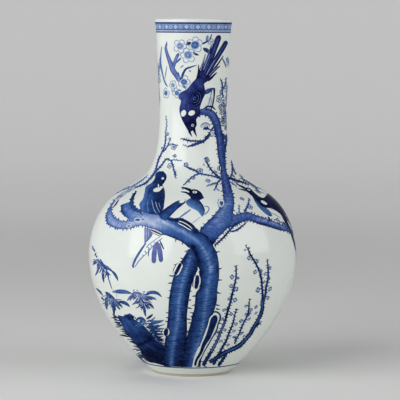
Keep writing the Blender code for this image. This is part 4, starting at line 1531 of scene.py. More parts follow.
shoulderTwigs = {
    "dark": [
        ([(208, 126), (206, 129), (203, 128)], [1.2, 2.4, 0.6], 0.86),
        ([(213, 127), (211, 131), (207, 137), (205, 140)], [1.6, 2, 2.2, 1.4], 0.84),
        ([(181, 138), (186, 140), (193, 141), (199, 141), (203, 141), (207, 138), (210, 134)],
         [0.7, 1.7, 1.7, 1.5, 2, 2.2, 1.4], 0.84),
        ([(187, 147), (193, 145), (199, 143), (205, 141)], [0.9, 2.6, 2.4, 2], 0.82),
        ([(182, 145), (187, 146)], [0.4, 1], 0.5),
        ([(166, 135), (165, 145), (162, 153), (159, 159), (157, 166), (155, 172), (150, 179), (146, 183),
         (140, 186), (135, 188)], [1, 1.4, 1.5, 1.8, 1.6, 1.7, 1.9, 2, 1.6, 0.8], 0.74),
        ([(161, 152), (164, 151), (167, 147), (169, 143), (170, 140)], [1.2, 1.4, 1.2, 1, 0.6], 0.72),
        ([(168, 146), (172, 144), (179, 146)], [0.8, 0.9, 0.5], 0.62),
        ([(150, 180), (156, 172), (162, 165), (167, 159), (171, 161), (173, 165), (174, 171), (176, 179)],
         [1.6, 1.7, 1.7, 1.6, 1.6, 1.4, 1.4, 0.7], 0.74),
        ([(171, 160), (176, 160), (182, 161)], [0.9, 1, 0.8], 0.56),
        ([(175, 171), (176, 176)], [1.8, 1.2], 0.7),
        ([(148, 175), (144, 179), (135, 185), (127, 189)], [0.6, 1.2, 1.3, 0.7], 0.5),
        ([(221, 179), (216, 175), (212, 171), (208, 165), (205, 157)], [1.6, 1.9, 1.7, 1.7, 1.1], 0.84),
        ([(213, 172), (211, 174)], [1.2, 0.7], 0.7), ([(205, 166), (203, 164)], [0.9, 0.5], 0.5),
        ([(221, 179), (212, 176), (206, 175), (199, 174), (194, 176), (189, 180), (187, 182), (183, 186)],
         [1.7, 1.5, 1.5, 1.6, 1.6, 1.5, 1.3, 0.8], 0.74),
        ([(200, 174), (196, 171), (191, 169), (187, 167), (184, 164)], [1, 1.9, 2, 1.8, 0.6], 0.78),
        ([(221, 180), (218, 182), (216, 187), (214, 191)], [1.4, 1.5, 1.5, 0.8], 0.82),
        ([(218, 183), (213, 184), (208, 186)], [1.2, 1.9, 1], 0.62),
        ([(226, 134), (226, 141), (225, 148), (224, 155)], [1.2, 2, 1.9, 1.2], 0.84),
        ([(220, 78), (222, 84), (222, 91), (223, 98)], [0.7, 1.5, 1.5, 1.4], 0.76),
        ([(226, 77), (225, 84), (223, 90)], [0.6, 1.3, 1], 0.74),
        ([(223, 100), (224, 108), (224, 116), (224, 124)], [1.2, 1.6, 1.3, 0.8], 0.66),
        ([(166, 115), (167, 124), (166, 131), (166, 140)], [0.5, 1, 1.2, 1.4], 0.5),
        ([(227, 178), (232, 179), (237, 181), (241, 182), (249, 185)], [2.6, 2.6, 2.4, 2.2, 1], 0.86),
        ([(231, 160), (232, 166), (232, 173), (230, 178)], [0.8, 1.7, 1.6, 1.4], 0.76),
        ([(233, 167), (234, 171), (236, 174)], [1, 1.4, 0.8], 0.76),
        ([(240, 178), (245, 181), (253, 185), (258, 191)], [0.7, 1.5, 1.9, 1.2], 0.78),
        ([(227, 181), (229, 184), (229, 188)], [2.4, 2, 0.9], 0.86),
        ([(228, 181), (233, 184), (237, 187)], [1, 1.2, 0.7], 0.6),
        ([(249, 199), (248, 205), (244, 212)], [1, 1.7, 1.9], 0.74),
        ([(239, 204), (239, 213)], [0.6, 1.4], 0.6),
        ([(236, 224), (230, 230), (223, 238), (214, 246)], [1.3, 1.9, 1.9, 1.5], 0.86),
        ([(230, 232), (237, 230), (241, 227), (247, 222)], [1.2, 1.9, 1.8, 0.9], 0.8),
        ([(92, 246), (95, 252)], [0.8, 1.4], 0.7), ([(95, 253), (97, 258)], [1, 1.2], 0.7),
    ],
    "flowers": [    # x, y, size, depth, turn
        (212, 133, 3.2, 0.1, 30), (200, 171, 2.8, 0.5, -20), (170, 166, 2.6, 0.3, 0),
        (193, 178, 2.0, 0.4, 0), (208, 181, 2.2, 0.4, 30), (250, 207, 2.8, 0.46, 0),
        (174, 147, 2.6, 0.42, 10), (118, 198, 5.4, 0.34, 10), (125, 193, 6.4, 0.26, 40),
        (121, 191, 4.6, 0.3, 20), (132, 189, 5.2, 0.24, 0), (254, 187, 3.2, 0.4, 0),
        (258, 192, 2.8, 0.44, 30), (244, 176, 2.6, 0.26, 0), (207, 160, 2.2, 0.46, 15),
        (186, 165, 2.0, 0.3, 0), (242, 199, 2.0, 0.34, 0),
    ],
    "darkFlowers": [
        (219, 99, 3.6, 0.4, 0), (223, 103, 3.4, 0.56, 20), (220, 107, 2.4, 0.4, 50),
        (224, 109, 3.0, 0.5, 50), (221, 112, 2.4, 0.4, 10), (224, 116, 3.2, 0.6, 0),
        (222, 119, 2.4, 0.5, 30), (223, 123, 2.8, 0.5, 40), (225, 128, 2.0, 0.5, 0), (221, 92, 2.2, 0.4, 0),
        (227, 104, 2.0, 0.5, 0), (286, 226, 3.0, 0.66, 0), (283, 224, 2.2, 0.5, 30),
        (278, 221, 3.0, 0.12, 10), (290, 230, 1.8, 0.66, 0), (246, 181, 2.4, 0.5, 0),
        (251, 184, 2.4, 0.56, 30), (255, 187, 2.4, 0.5, 0), (241, 177, 2.0, 0.5, 0),
        (236, 182, 2.2, 0.5, 0), (233, 176, 1.8, 0.5, 0),
    ],
    "buds": [
        (168, 134, 2), (170, 139, 1.8), (175, 156, 2.0), (162, 148, 1.6), (207, 160, 1.8), (235, 174, 1.6),
        (249, 199, 1.5), (216, 172, 1.5), (189, 182, 1.5), (183, 189, 1.2),
    ],
    "leaves": [
        ((210, 130), (204, 128), 2.2, 0.84, 0.1), ((212, 185), (206, 187), 2.2, 0.4, 0.1),
        ((216, 188), (220, 191), 2.0, 0.34, 0.1), ((176, 157), (172, 156), 1.6, 0.42, 0.1),
    ],
}


def paintShoulderTwigs():
    t = shoulderTwigs
    piece = newPiece("shoulder_twigs")
    for count, (path, width, tone) in enumerate(t["dark"]):
        brush(piece, path, width, tone, 2, 0.15, streak=0.2)
        reach = 2.0 if tone > 0.82 else 1.2
        prickles(piece, sidesOf(path, width), 3.2, reach, 100 + count, tone, 0.9, layer=2, hue=0.15)
    for base, tip, width, tone, bow in t["leaves"]:
        leaf(piece, base, tip, width, tone, bow, layer=3, hue=-0.2)
    for x, y, size, tone, turn in t["flowers"]:
        blossom(piece, (x, y), size, tone, turn, 4, -0.2, 0.7)
    for x, y, size, tone, turn in t["darkFlowers"]:
        blossom(piece, (x, y), size, tone, turn, 4, -0.3, 0.88)
    buds(piece, t["buds"], 0.8, layer=3, hue=0.0)
    finishPiece(piece)


# Bamboo over the rock, at the lower left: tufts of pointed leaves that hang from fine stalks

bamboo = {
    "leaves": [    # base, tip, width, depth, bow, hue
        ((99, 259), (93, 265), 2.2, 0.66, 0.1, 0.3), ((99, 266), (95, 276), 2.0, 0.62, -0.06, 0.3),
        ((104, 266), (104, 283), 2.6, 0.76, 0.05, 0.1), ((106, 269), (109, 278), 2.3, 0.7, 0, 0.2),
        ((107, 267), (113, 272), 2.2, 0.66, 0, 0.3), ((111, 270), (118, 281), 2.6, 0.72, -0.08, 0.1),
        ((100, 262), (97, 269), 1.8, 0.6, 0, 0.3), ((103, 264), (109, 267), 1.8, 0.64, 0.1, 0.3),
        ((96, 288), (103, 296), 1.8, 0.8, -0.05, 0.1), ((101, 297), (104, 300), 1.6, 0.8, 0, 0.1),
        ((131, 293), (112, 292), 4.2, 0.66, 0.05, 0.1), ((135, 294), (127, 301), 2.6, 0.56, 0.05, 0.7),
        ((134, 292), (130, 301), 2.2, 0.6, 0, 0.6), ((137, 295), (133, 300), 2.2, 0.62, 0, 0.5),
        ((137, 292), (132, 295), 1.8, 0.5, 0, 0.6), ((144, 296), (162, 297), 3.4, 0.72, -0.24, 0.1),
        ((143, 297), (157, 300), 2.6, 0.56, -0.08, 0.5), ((143, 297), (153, 300), 2.2, 0.58, 0, 0.5),
        ((140, 296), (143, 300), 2.2, 0.6, 0, 0.4), ((138, 293), (147, 295), 2.4, 0.56, 0.1, 0.6),
        ((137, 292), (140, 294), 2.4, 0.6, 0, 0.6), ((142, 301), (132, 305), 2.2, 0.62, 0.08, 0.1),
        ((142, 302), (139, 307), 2.6, 0.74, 0, 0.0), ((144, 303), (146, 317), 2.6, 0.78, 0.04, 0.0),
        ((144, 302), (154, 309), 2.8, 0.76, -0.12, 0.1), ((145, 303), (150, 309), 2.2, 0.7, 0, -0.1),
        ((143, 303), (141, 309), 2.2, 0.7, 0, -0.1), ((143, 302), (148, 308), 2, 0.68, 0, 0),
        ((108, 294), (106, 300), 2.2, 0.6, 0, 0.6), ((108, 294), (107, 310), 3.4, 0.66, 0.06, -0.5),
        ((111, 298), (114, 317), 2.8, 0.78, -0.05, -0.2), ((112, 299), (116, 311), 2.4, 0.74, 0, -0.2),
        ((113, 299), (120, 310), 2.4, 0.74, 0, -0.2), ((113, 298), (123, 308), 2.6, 0.74, 0, -0.2),
        ((117, 302), (130, 307), 3.4, 0.8, -0.14, 0.1), ((105, 292), (111, 295), 2.4, 0.64, 0, 0.6),
        ((111, 297), (110, 305), 2, 0.6, 0, -0.4),
    ],
    "stalks": [
        ([(108, 277), (110, 283), (112, 289)], [1, 1, 0.6], 0.76),
        ([(100, 259), (104, 265), (109, 270)], [1.2, 1.6, 1], 0.64),
        ([(137, 293), (141, 298), (143, 302)], [2, 1.6, 1.4], 0.66),
        ([(106, 292), (110, 298), (115, 301)], [2, 2.2, 1.6], 0.72),
        ([(133, 292), (139, 294), (146, 296)], [2, 3.2, 2], 0.56),
        ([(112, 289), (116, 293), (117, 298)], [0.4, 0.5, 0.3], 0.3),
    ],
    "fans": [    # middle, ways, count, reach, width, depth, seed, hue
        ((99, 261), 70, 200, 6, 7, 1.1, 0.72, 41, 0.3), ((102, 265), 60, 150, 5, 8.4, 1.1, 0.74, 42, 0.3),
        ((106, 269), 50, 130, 4, 9, 1.1, 0.74, 43, 0.2), ((140, 293), 15, 170, 11, 11.5, 1.1, 0.7, 44, 0.5),
        ((138, 292), 95, 170, 5, 9, 1.0, 0.66, 45, 0.6), ((142, 294), 10, 60, 4, 13, 1.1, 0.74, 46, 0.3),
        ((144, 302), 15, 170, 8, 10, 1.1, 0.78, 47, -0.1),
        ((111, 297), 40, 140, 7, 12, 1.1, 0.76, 48, -0.3), ((114, 299), 5, 70, 5, 11.5, 1.1, 0.8, 49, -0.1),
        ((108, 294), 80, 150, 4, 9, 1.0, 0.74, 50, -0.4),
    ],
    "knots": [    # the crowded bases of the leaves
        ([(98, 260), (103, 266), (108, 270)], [1.6, 2.6, 1.8], 0.7),
        ([(109, 294), (112, 297), (115, 300)], [2.2, 2.6, 1.8], 0.76),
        ([(136, 293), (140, 294), (145, 295)], [1.8, 2.4, 1.6], 0.66),
        ([(142, 300), (144, 303)], [1.8, 1.8], 0.74),
    ],
    "dots": [(144.1, 291.9, 1.0), (148.1, 292, 0.9), (137.2, 290.4, 0.7), (133.8, 290.2, 0.8)],
}


def paintBamboo(name="bamboo", canvas=onPhoto):
    piece = newPiece(name, canvas)
    for base, tip, width, tone, bow, hue in bamboo["leaves"]:
        leaf(piece, base, tip, width, tone - 0.05, bow, layer=2, hue=hue, streak=0.25, edge=0.3)
    for middle, since, until, count, reach, width, tone, seed, hue in bamboo["fans"]:
        fan(piece, middle, since, until, count, reach, width, tone, seed, layer=2, hue=hue, streak=0.25)
        fan(piece, middle, since, until, count - 1, reach * 0.7, 0.4, 0.2, seed + 20, layer=4, hue=hue)
    strokes(piece, bamboo["knots"], layer=3, hue=0.2, edge=0.12, streak=0.5)
    strokes(piece, bamboo["stalks"], layer=3, hue=0.4)
    for x, y, size in bamboo["dots"]:
        oval(piece, (x, y), (size, size * 0.8), 0, 0.55, 3, 0.3)
    finishPiece(piece)


# The garden rock at the foot of the tree, a dark wash with lighter planes, and the grass on its edges

rock = {
    "edges": (
        [(118, 315), (122, 316), (127, 316), (132, 318), (137, 321), (143, 325), (148, 330), (153, 335),
         (157, 341), (162, 345), (167, 349), (170, 356), (171, 366)],
        [(118, 318), (121, 323), (124, 329), (128, 334), (132, 340), (136, 345), (140, 350), (142, 355),
         (145, 359), (149, 362), (155, 363), (162, 365), (170, 367)],
    ),
    "tones": (
        (0.84, 0.84, 0.86), (0.8, 0.78, 0.86), (0.82, 0.82, 0.9), (0.86, 0.9, 0.95), (0.93, 0.97, 1.0),
        (0.96, 0.99, 1.0), (0.94, 0.99, 1.0),
    ),
    "touches": [
        ([(139, 345), (146, 342), (151, 340)], 1.2, 0.12),
        ([(124, 321), (130, 325), (137, 329)], 2.6, -0.05),
        ([(142, 347), (149, 346), (154, 349)], 2.6, -0.08), ([(146, 335), (150, 338)], 2.6, 0.08),
        ([(127, 329), (132, 336), (137, 341)], 2.2, -0.04),
    ],
    "hue": -0.2,
    "fringe": [    # base, tip, width, depth, bow
        ((125, 316), (134, 319), 3.6, 0.9, -0.2), ((124, 315), (131, 321), 3.4, 0.9, -0.1),
        ((118, 318), (112, 314), 1.6, 0.85, 0), ((119, 321), (113, 318), 1.5, 0.85, 0),
        ((121, 325), (114, 322), 2.2, 0.88, 0.1), ((129, 337), (119, 335), 1.8, 0.88, 0.05),
    ],
    "spikes": [    # line, ways along it, count, reach, width, depth, seed
        ([(119, 317), (122, 323), (125, 329), (129, 334), (133, 340)], (205, 170, 190, 205), 14, 8.6, 1.05,
         0.92, 31),
        ([(133, 340), (137, 345), (140, 350), (143, 355), (146, 358)], (185, 215, 150, 180), 14, 7.6, 0.95,
         0.92, 32),
        ([(124, 317), (130, 316), (136, 320)], (250, 275, 300), 6, 3, 1.2, 0.88, 33),
        ([(136, 322), (143, 325), (149, 331)], (-70, -50, -40), 11, 5, 1.0, 0.84, 34),
        ([(147, 328), (152, 335), (157, 341)], (-50, -40, -30), 12, 4.4, 1.6, 0.88, 36),
    ],
    "blades": [
        ([(146, 321), (149, 325), (151, 329)], (-32, -5, 8), 10, 15, 0.95, 0.84, 35),
        ([(149, 326), (153, 332), (157, 338)], (-8, 8, 20), 9, 12, 0.95, 0.9, 36),
        ([(154, 333), (158, 340), (163, 346)], (2, 20, 30), 9, 8.5, 0.95, 0.92, 37),
        ([(147, 321), (144, 322), (141, 324)], (200, 170, 150), 5, 8, 1.2, 0.7, 38),
    ],
    "grass": [    # base, tip, width, depth, bow, hue
        ((146, 321), (135, 321), 2.4, 0.78, 0.28, -0.2), ((146, 319), (153, 314), 2.4, 0.84, 0.05, 0.0),
        ((148, 320), (164, 320), 3.2, 0.56, 0.12, -0.6), ((147, 323), (162, 325), 1.8, 0.66, 0.14, -0.4),
        ((148, 325), (162, 328), 1.8, 0.72, 0.14, -0.2), ((149, 327), (162, 331), 1.8, 0.8, 0.14, 0),
        ((151, 329), (161, 334), 1.7, 0.84, 0.12, 0), ((153, 332), (162, 338), 1.7, 0.84, 0.12, 0.1),
        ((154, 334), (163, 341), 1.6, 0.84, 0.1, 0.1), ((156, 337), (163, 345), 1.6, 0.8, 0.1, 0),
        ((147, 323), (139, 326), 1.8, 0.6, 0, -0.4), ((146, 323), (143, 320), 1.8, 0.5, 0, -0.5),
    ],
}


def paintRock():
    piece = newPiece("garden_rock")
    between(piece, *rock["edges"], rock["tones"], 0, rock["hue"], 0.25, rock["touches"])
    for base, tip, width, tone, bow in rock["fringe"]:
        leaf(piece, base, tip, width, tone, bow, layer=1, hue=-0.1)
    for spikes in rock["spikes"]:
        comb(piece, *spikes, layer=1, hue=-0.1)
    finishPiece(piece)
    piece = newPiece("rock_grass")
    for base, tip, width, tone, bow, hue in rock["grass"]:
        leaf(piece, base, tip, width, tone, bow, layer=7, hue=hue)
    for blades in rock["blades"]:
        comb(piece, *blades, layer=7, hue=-0.3)
    finishPiece(piece)


# Young prunus shoots, lower right, rising from the foot of the tree

shoots = {
    "stems": [    # path, width, depth
        ([(236, 265), (236, 277), (234, 287), (232, 295), (231, 300), (228, 310), (225, 321), (221, 331),
         (217, 341), (211, 352), (205, 362), (203, 366)], [1.3, 2, 2.3, 2.8, 4], 0.82),
        ([(237, 308), (235, 314), (233, 323), (229, 333), (226, 341), (222, 348), (218, 356), (213, 365)],
         [0.9, 1.7, 2.2, 3], 0.8),
        ([(250, 298), (249, 304), (248, 314), (243, 324), (239, 334), (234, 344)], [0.8, 1.5, 1.7, 1.3],
         0.76),
        ([(245, 245), (248, 249), (249, 252), (253, 259), (258, 268), (261, 277), (262, 287), (263, 300)],
         [0.6, 1.7, 2, 2.1], 0.8),
        ([(263, 299), (262, 310), (259, 318), (254, 327), (250, 334), (245, 340), (240, 345), (233, 349),
         (224, 353), (218, 357), (209, 362)], [2, 2.4, 2.4, 2.9, 2.8, 2], 0.62),
        ([(267, 258), (268, 268), (268, 278), (266, 288), (265, 297), (263, 301)],
         [0.6, 1.6, 2, 2.2, 2.3, 2], 0.74),
        ([(227, 353), (223, 359), (218, 366)], [2, 2.8, 3], 0.82),
        ([(201, 356), (200, 361), (199, 367)], [1, 2.2, 2.4], 0.86),
        ([(255, 327), (259, 324), (262, 321)], [1.8, 1.4, 0.5], 0.74),
        ([(225, 321), (222, 318)], [1, 0.5], 0.66), ([(228, 309), (225, 309)], [0.9, 0.5], 0.6),
        ([(247, 317), (251, 312)], [1, 0.6], 0.6), ([(236, 339), (233, 336)], [1, 0.6], 0.66),
    ],
    # the double line's lighter heart
    "insides": [([(225, 321), (221, 331), (217, 341), (211, 352)], [0.4, 0.7, 0.9, 0.9], 0.5)],
    "broad": 4,     # the stem whose sides are drawn twice
    "buds": [
        (232, 277, 2.6), (238, 278, 1.7), (231, 286, 2.2), (236, 289, 2.8), (235, 300, 2.7),
        (229, 299, 1.8), (249, 258, 2.4), (257, 261, 2.2), (255, 272, 2.5), (261, 271, 2.2),
        (264, 282, 1.9), (270, 268, 2.2), (265, 274, 2), (258, 290, 3.2), (270, 289, 3), (268, 298, 2.3),
        (224, 310, 2.1), (231, 314, 2.2), (222, 319, 2.2), (225, 330, 1.9), (234, 331, 2.1), (236, 324, 2),
        (221, 341, 2), (228, 345, 2), (235, 337, 2.1), (241, 321, 2.4), (249, 319, 2.2), (242, 333, 2.1),
        (246, 306, 1.9), (251, 310, 2.2), (246, 314, 1.9), (256, 307, 2.2), (256, 313, 2.0),
        (249, 248, 1.3), (245, 250, 1.3), (261, 304, 1.6), (230, 336, 1.6), (244, 336, 1.8),
        (215, 334, 1.5), (269, 279, 1.8),
    ],
    "budTone": 0.74,
    "nicks": (3.4, 1.8, 61),       # step, reach, seed
    "roughness": (2.7, 1.8, 62),
}


def paintShoots(name="prunus_shoots", canvas=onPhoto):
    piece = newPiece(name, canvas)
    gap, reach, seed = shoots["nicks"]
    for count, (path, width, tone) in enumerate(shoots["stems"]):
        brush(piece, path, width, tone + 0.06, 1, 0.1, streak=0.2, edge=0.08)
        prickles(piece, sidesOf(path, width), gap, reach, seed + count, 0.86, 1.1, layer=1, hue=0.1)
    strokes(piece, shoots["insides"], layer=2, hue=0.1)
    sides = sidesOf(*shoots["stems"][shoots["broad"]][:2])
    for side in sides:
        brush(piece, side, [0.7, 1.5, 0.8, 1.7, 0.9, 1.7, 1.1, 1.6, 1], 0.95, 2, 0.1)
    prickles(piece, sides, *shoots["roughness"], 0.92, 1.5, layer=2, hue=0.1)
    buds(piece, shoots["buds"], shoots["budTone"], layer=2, hue=-0.3)
    finishPiece(piece)


# The back, which the photograph doesn't show: the right limb runs on round the shoulder and carries a
# magpie, twigs in flower reach over the neck and from the left, and a second rock, bamboo, grass and
# young shoots stand on the ground line.

backScene = {
    "limbMiddle": (150, 228),       # degrees and mm
    "limb": [
        (-132, 18.4), (-115, 21.4), (-98, 20), (-80, 15), (-62, 9), (-44, 4), (-24, 1), (-4, 1), (16, 4),
        (36, 9), (54, 10), (70, 5), (84, -6), (93, -20), (98, -32),
    ],
    "limbWidth": [3.4, 7.4, 9.4, 9.8, 9, 6.8, 4.2, 1.2],
    "limbTwigs": [    # path, width, flowers, seed
        ([(-96, 22), (-84, 34), (-68, 42), (-50, 42), (-36, 50)], [2.8, 2.4, 2, 1.6, 0.8], 7, 71),
        ([(-66, 42), (-56, 54), (-42, 60)], [1.6, 1.3, 0.7], 3, 84),
        ([(-70, 10), (-76, -6), (-70, -22), (-76, -40)], [2.8, 2.4, 1.8, 0.8], 6, 72),
        ([(-73, -16), (-88, -22), (-98, -34)], [1.6, 1.3, 0.7], 3, 73),
        ([(10, 2), (20, -14), (18, -30), (28, -46), (26, -62)], [3.2, 2.8, 2.2, 1.6, 0.8], 7, 74),
        ([(20, -18), (36, -26), (52, -27)], [1.8, 1.4, 0.7], 4, 75),
        ([(38, 11), (52, 22), (68, 26), (80, 38)], [2.8, 2.2, 1.6, 0.8], 5, 76),
        ([(64, 7), (82, 9), (100, 3), (113, -8)], [2.8, 2.2, 1.6, 0.8], 5, 77),
        ([(-12, 2), (-4, 18), (-8, 32)], [2, 1.6, 0.7], 3, 78),
    ],
    "magpie": (130, 225.5, (153, 219.5), (-1, 1)),
    "neckMiddle": (180, 360),
    "neckTwigs": [
        ([(-75, 14), (-64, 20), (-50, 16), (-36, 6), (-20, -10), (-5, -22), (7, -36), (9, -54)],
         [5, 4.8, 4.4, 3.8, 3.2, 2.6, 1.8, 0.8], 9, 61, 0.2),
        ([(-34, 5), (-16, 9), (2, 4), (16, 10), (30, 6)], [2.6, 2.2, 1.8, 1.4, 0.7], 6, 62),
        ([(-5, -22), (12, -22), (26, -30), (38, -46)], [2.4, 2, 1.5, 0.7], 5, 63),
        ([(-52, 16), (-55, 2), (-47, -14), (-49, -30)], [2.4, 2, 1.5, 0.7], 5, 64),
        ([(-68, -60), (-54, -52), (-40, -52), (-28, -64)], [0.9, 1.9, 1.6, 0.7], 5, 65),
        ([(71, -56), (60, -42), (58, -24), (48, -10)], [0.9, 1.8, 1.6, 0.7], 5, 66),
        ([(-62, -34), (-60, -18), (-61, -4), (-59, 12)], [0.9, 2, 1.8, 1], 9, 67),
    ],
    "leftMiddle": (255, 245),
    "leftTwigs": [
        ([(34, -20), (18, -9), (3, -4), (-14, 2), (-30, 0), (-46, 9)], [1.5, 2.4, 2.4, 2, 1.6, 0.8], 7, 68),
        ([(3, -4), (-5, -18), (-20, -26)], [1.8, 1.5, 0.7], 4, 69),
        ([(18, -8), (12, 10), (2, 24)], [1.8, 1.5, 0.7], 4, 70),
    ],
    "shoots": (112, 14.6, (236, 366), (-1, 1)),
    "bamboo": (206, 112, (128, 296), (-1, 1)),
    "rocks": [(214, (1, 1), 81), (262, (-0.66, 0.6), 82)],      # angle, scale, seed
    "rockTop": [
        (-36, 0), (-32, -9), (-24, -14), (-17, -24), (-9, -29), (-3, -38), (5, -36), (9, -25), (17, -21),
        (24, -11), (34, -6), (38, 0),
    ],
    "rockFoot": [(x, 0.6) for x in (-36, -30, -22, -15, -8, -2, 4, 10, 17, 24, 32, 38)],
    "rockTones": (
        (0.9, 0.84, 0.94), (0.86, 0.66, 0.96), (0.86, 0.7, 0.97), (0.8, 0.74, 1.0), (0.86, 0.62, 0.97),
        (0.84, 0.7, 0.97), (0.9, 0.84, 0.98),
    ),
    "rockPlanes": [
        ([(-20, -8), (-12, -14), (-5, -24)], 3, -0.16), ([(4, -14), (8, -6)], 3.4, -0.14),
        ([(-4, -28), (-2, -16), (-5, -4)], 1.6, 0.12), ([(16, -16), (22, -8)], 2.4, 0.1),
    ],
    "rockSpikes": [    # line, ways along it, count, reach, width, depth
        ([(-34, -5), (-24, -14), (-17, -24), (-9, -29), (-3, -38)], (200, 215, 230), 20, 6, 1.2, 0.9),
        ([(5, -36), (9, -25), (17, -21), (24, -11), (34, -5)], (-60, -35, -15), 18, 6, 1.2, 0.9),
    ],
    # angle, blades, reach, seed
    "grass": [(146, 12, 15, 91), (163, 9, 11, 92), (238, 12, 13, 93), (282, 10, 12, 94), (186, 8, 9, 95)],
}


def paintBack():
    b = backScene
    piece = newPiece("back_prunus", roundFrom(*b["limbMiddle"]))
    brush(piece, b["limb"], b["limbWidth"], 0.68, 1, 0.1, edge=0.22, tips=(0.2, 0.2), streak=0.4, bark=True,
          touches=[([(x, y - 1.6) for x, y in b["limb"][:10]], 1.5, -0.12)])
    sides = sidesOf(b["limb"], b["limbWidth"])
    hatch(piece, sides, 2.6, 0.78, 2, 79)
    prickles(piece, sides, 4.4, 2.2, 80, layer=1)
    for twig in b["limbTwigs"]:
        sprig(piece, *twig)
    finishPiece(piece)
    piece = newPiece("back_twigs", roundFrom(*b["neckMiddle"]))
    for twig in b["neckTwigs"]:
        sprig(piece, *twig)
    piece["canvas"] = roundFrom(*b["leftMiddle"])
    for twig in b["leftTwigs"]:
        sprig(piece, *twig)
    finishPiece(piece)
    paintLeftMagpie("back_magpie", roundFrom(*b["magpie"]), True)
    paintShoots("back_shoots", roundFrom(*b["shoots"]))
    paintBamboo("back_bamboo", roundFrom(*b["bamboo"]))
    piece = newPiece("back_rocks")
    foot = groundLine["low"] + 0.6
    for angle, scale, seed in b["rocks"]:
        piece["canvas"] = roundFrom(angle, foot, scale=scale)
        between(piece, b["rockTop"], b["rockFoot"], b["rockTones"], 1, -0.4, 0.25, b["rockPlanes"])
        for count, spikes in enumerate(b["rockSpikes"]):
            comb(piece, *spikes, seed + 10 * count, layer=2, hue=-0.1)
    for angle, blades, reach, seed in b["grass"]:
        piece["canvas"] = roundFrom(angle, foot)
        comb(piece, [(-13, 0), (0, 0.4), (13, 0)], (-128, -90, -52), blades, reach, 1.3, 0.84, seed,
             layer=3, hue=-0.2)
        comb(piece, [(-8, 0), (0, 0.4), (8, 0)], (-115, -90, -65), blades, reach * 0.7, 1.1, 0.7, seed + 5,
             layer=4, hue=-0.4)
    finishPiece(piece)


paintMouthBorder()
paintGroundLine()
paintNeckTwigs()
paintNeckMagpie()
paintPrunus()
paintLeftMagpie()
paintMiddleMagpie()
paintRightMagpie()
paintShoulderTwigs()
paintBamboo()
paintRock()
paintShoots()
paintBack()

# Stage

lamps = {       # place, target, size and power
    "key softbox": ((-2.1, -1.8, 1.35), (0, 0, 0.2), (2.8, 2.4), 65),
    "right softbox": ((2.5, -0.9, 1.2), (0, 0, 0.15), (2.4, 1.7), 27),
}
stage = {
    "floor": 6.0, "sweep": 2.5, "top": 5.0,     # metres
    "around": 96, "floorRings": 20, "sweepRings": 16,
    "lift": ((0.8, 0.0), (3.2, 0.16), (6.0, 0.24)),     # distance from the vase, added light
    "liftReach": 10.0,
    "paper": ("#EDEDEB", "#F1F1EF"), "toothSize": 2.0, "roughness": 0.9, "sheen": 0.1,
}
studio = {"sky": "#F2F4F6", "skyLight": 0.32}

for name, (place, target, size, power) in lamps.items():
    lamp = bpy.data.lights.new(name, "AREA")
    lamp.shape = "RECTANGLE"
    lamp.size, lamp.size_y = size
    lamp.energy = power
    lampObject = bpy.data.objects.new(name, lamp)
    lampObject.location = place
    lampObject.rotation_euler = (Vector(target) - Vector(place)).to_track_quat("-Z", "Y").to_euler()
    bpy.context.scene.collection.objects.link(lampObject)


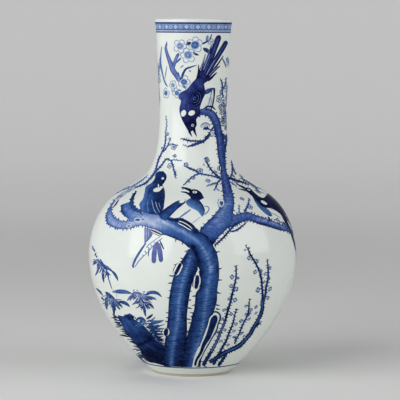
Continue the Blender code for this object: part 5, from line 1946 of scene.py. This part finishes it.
# Pale paper: matt, with a faint tooth. Away from the lamps it is lifted for the camera, and for
# reflections, so that the backdrop is as pale as the floor.
def palePaper():
    made, tree, shader, where = newMaterial("pale paper")
    grain = {"Vector": where, "Scale": scaleOf(stage["toothSize"]), "Detail": 3}
    tooth = node(tree, "TexNoise", grain, "Fac")
    pale, paler = (colour(code) for code in stage["paper"])
    paper = node(tree, "Mix", {0: tooth, 6: pale, 7: paler}, 2, data_type="RGBA")
    away = node(tree, "VectorMath", {0: where}, "Value", operation="LENGTH")
    away = node(tree, "Math", {0: away, 1: stage["liftReach"]}, 0, operation="DIVIDE")
    lift = node(tree, "FloatCurve", {"Value": away})
    curve = lift.mapping.curves[0]
    curve.points[0].location = (0, 0)
    curve.points[1].location = (1, stage["lift"][-1][1])
    for reach, level in stage["lift"]:
        curve.points.new(reach / stage["liftReach"], level)
    for point in curve.points:
        point.handle_type = "AUTO_CLAMPED"
    lift.mapping.update()
    path = node(tree, "LightPath", {}).outputs
    seen = node(tree, "Math", {0: path["Is Camera Ray"], 1: path["Is Glossy Ray"]}, 0, operation="MAXIMUM")
    seen = node(tree, "Math", {0: seen, 1: path["Is Transmission Ray"]}, 0, operation="MAXIMUM")
    light = node(tree, "Math", {0: lift.outputs[0], 1: seen}, 0, operation="MULTIPLY")
    feed(tree, shader, {"Base Color": paper, "Roughness": stage["roughness"],
                        "Specular IOR Level": stage["sheen"],
                        "Emission Strength": light, "Emission Color": (1, 1, 1, 1)})
    return made


# A round floor that sweeps up into a wall on every side: rings of points about the vase's axis
def addStage():
    turn = np.linspace(0, math.pi / 2, stage["sweepRings"])[1:]
    flat = np.linspace(0.3, stage["floor"], stage["floorRings"])
    away = np.concatenate([flat, stage["floor"] + stage["sweep"] * np.sin(turn)])
    height = np.concatenate([0 * flat, stage["sweep"] * (1 - np.cos(turn))])
    away, height = np.append(away, away[-1])[:, None], np.append(height, stage["top"])[:, None]
    angle = np.linspace(0, math.tau, stage["around"], endpoint=False)
    rings = np.stack([away * np.cos(angle), away * np.sin(angle), height + 0 * angle], -1)
    ring = np.arange(rings[..., 0].size).reshape(rings.shape[:2])
    nextRing = np.roll(ring, -1, axis=1)
    quads = np.stack([ring[:-1], ring[1:], nextRing[1:], nextRing[:-1]], -1).reshape(-1, 4)
    centre = np.full(stage["around"], ring.size)
    middle = np.stack([ring[0], nextRing[0], centre], -1)
    points = np.vstack([rings.reshape(-1, 3), [[0, 0, 0]]])
    addMesh("floor", points, [quads, middle], palePaper())


addStage()

world = bpy.data.worlds.new("studio")
bpy.context.scene.world = world
world.use_nodes = True
feed(world.node_tree, world.node_tree.nodes["Background"],
     {"Color": colour(studio["sky"]), "Strength": studio["skyLight"]})

camera = bpy.data.cameras.new("camera")
camera.lens, camera.sensor_width = photoCamera["lens"], photoCamera["sensor"]
camera.clip_start, camera.clip_end = 0.1, 50
cameraObject = bpy.data.objects.new("camera", camera)
matrix = np.eye(4)
matrix[:3, :3] = cameraTurn
matrix[:3, 3] = np.array(photoCamera["place"]) * mm
cameraObject.matrix_world = Matrix(matrix.tolist())
bpy.context.scene.collection.objects.link(cameraObject)
bpy.context.scene.camera = cameraObject
bpy.context.scene.view_settings.view_transform = "Standard"
print("stage, lamps and camera made")
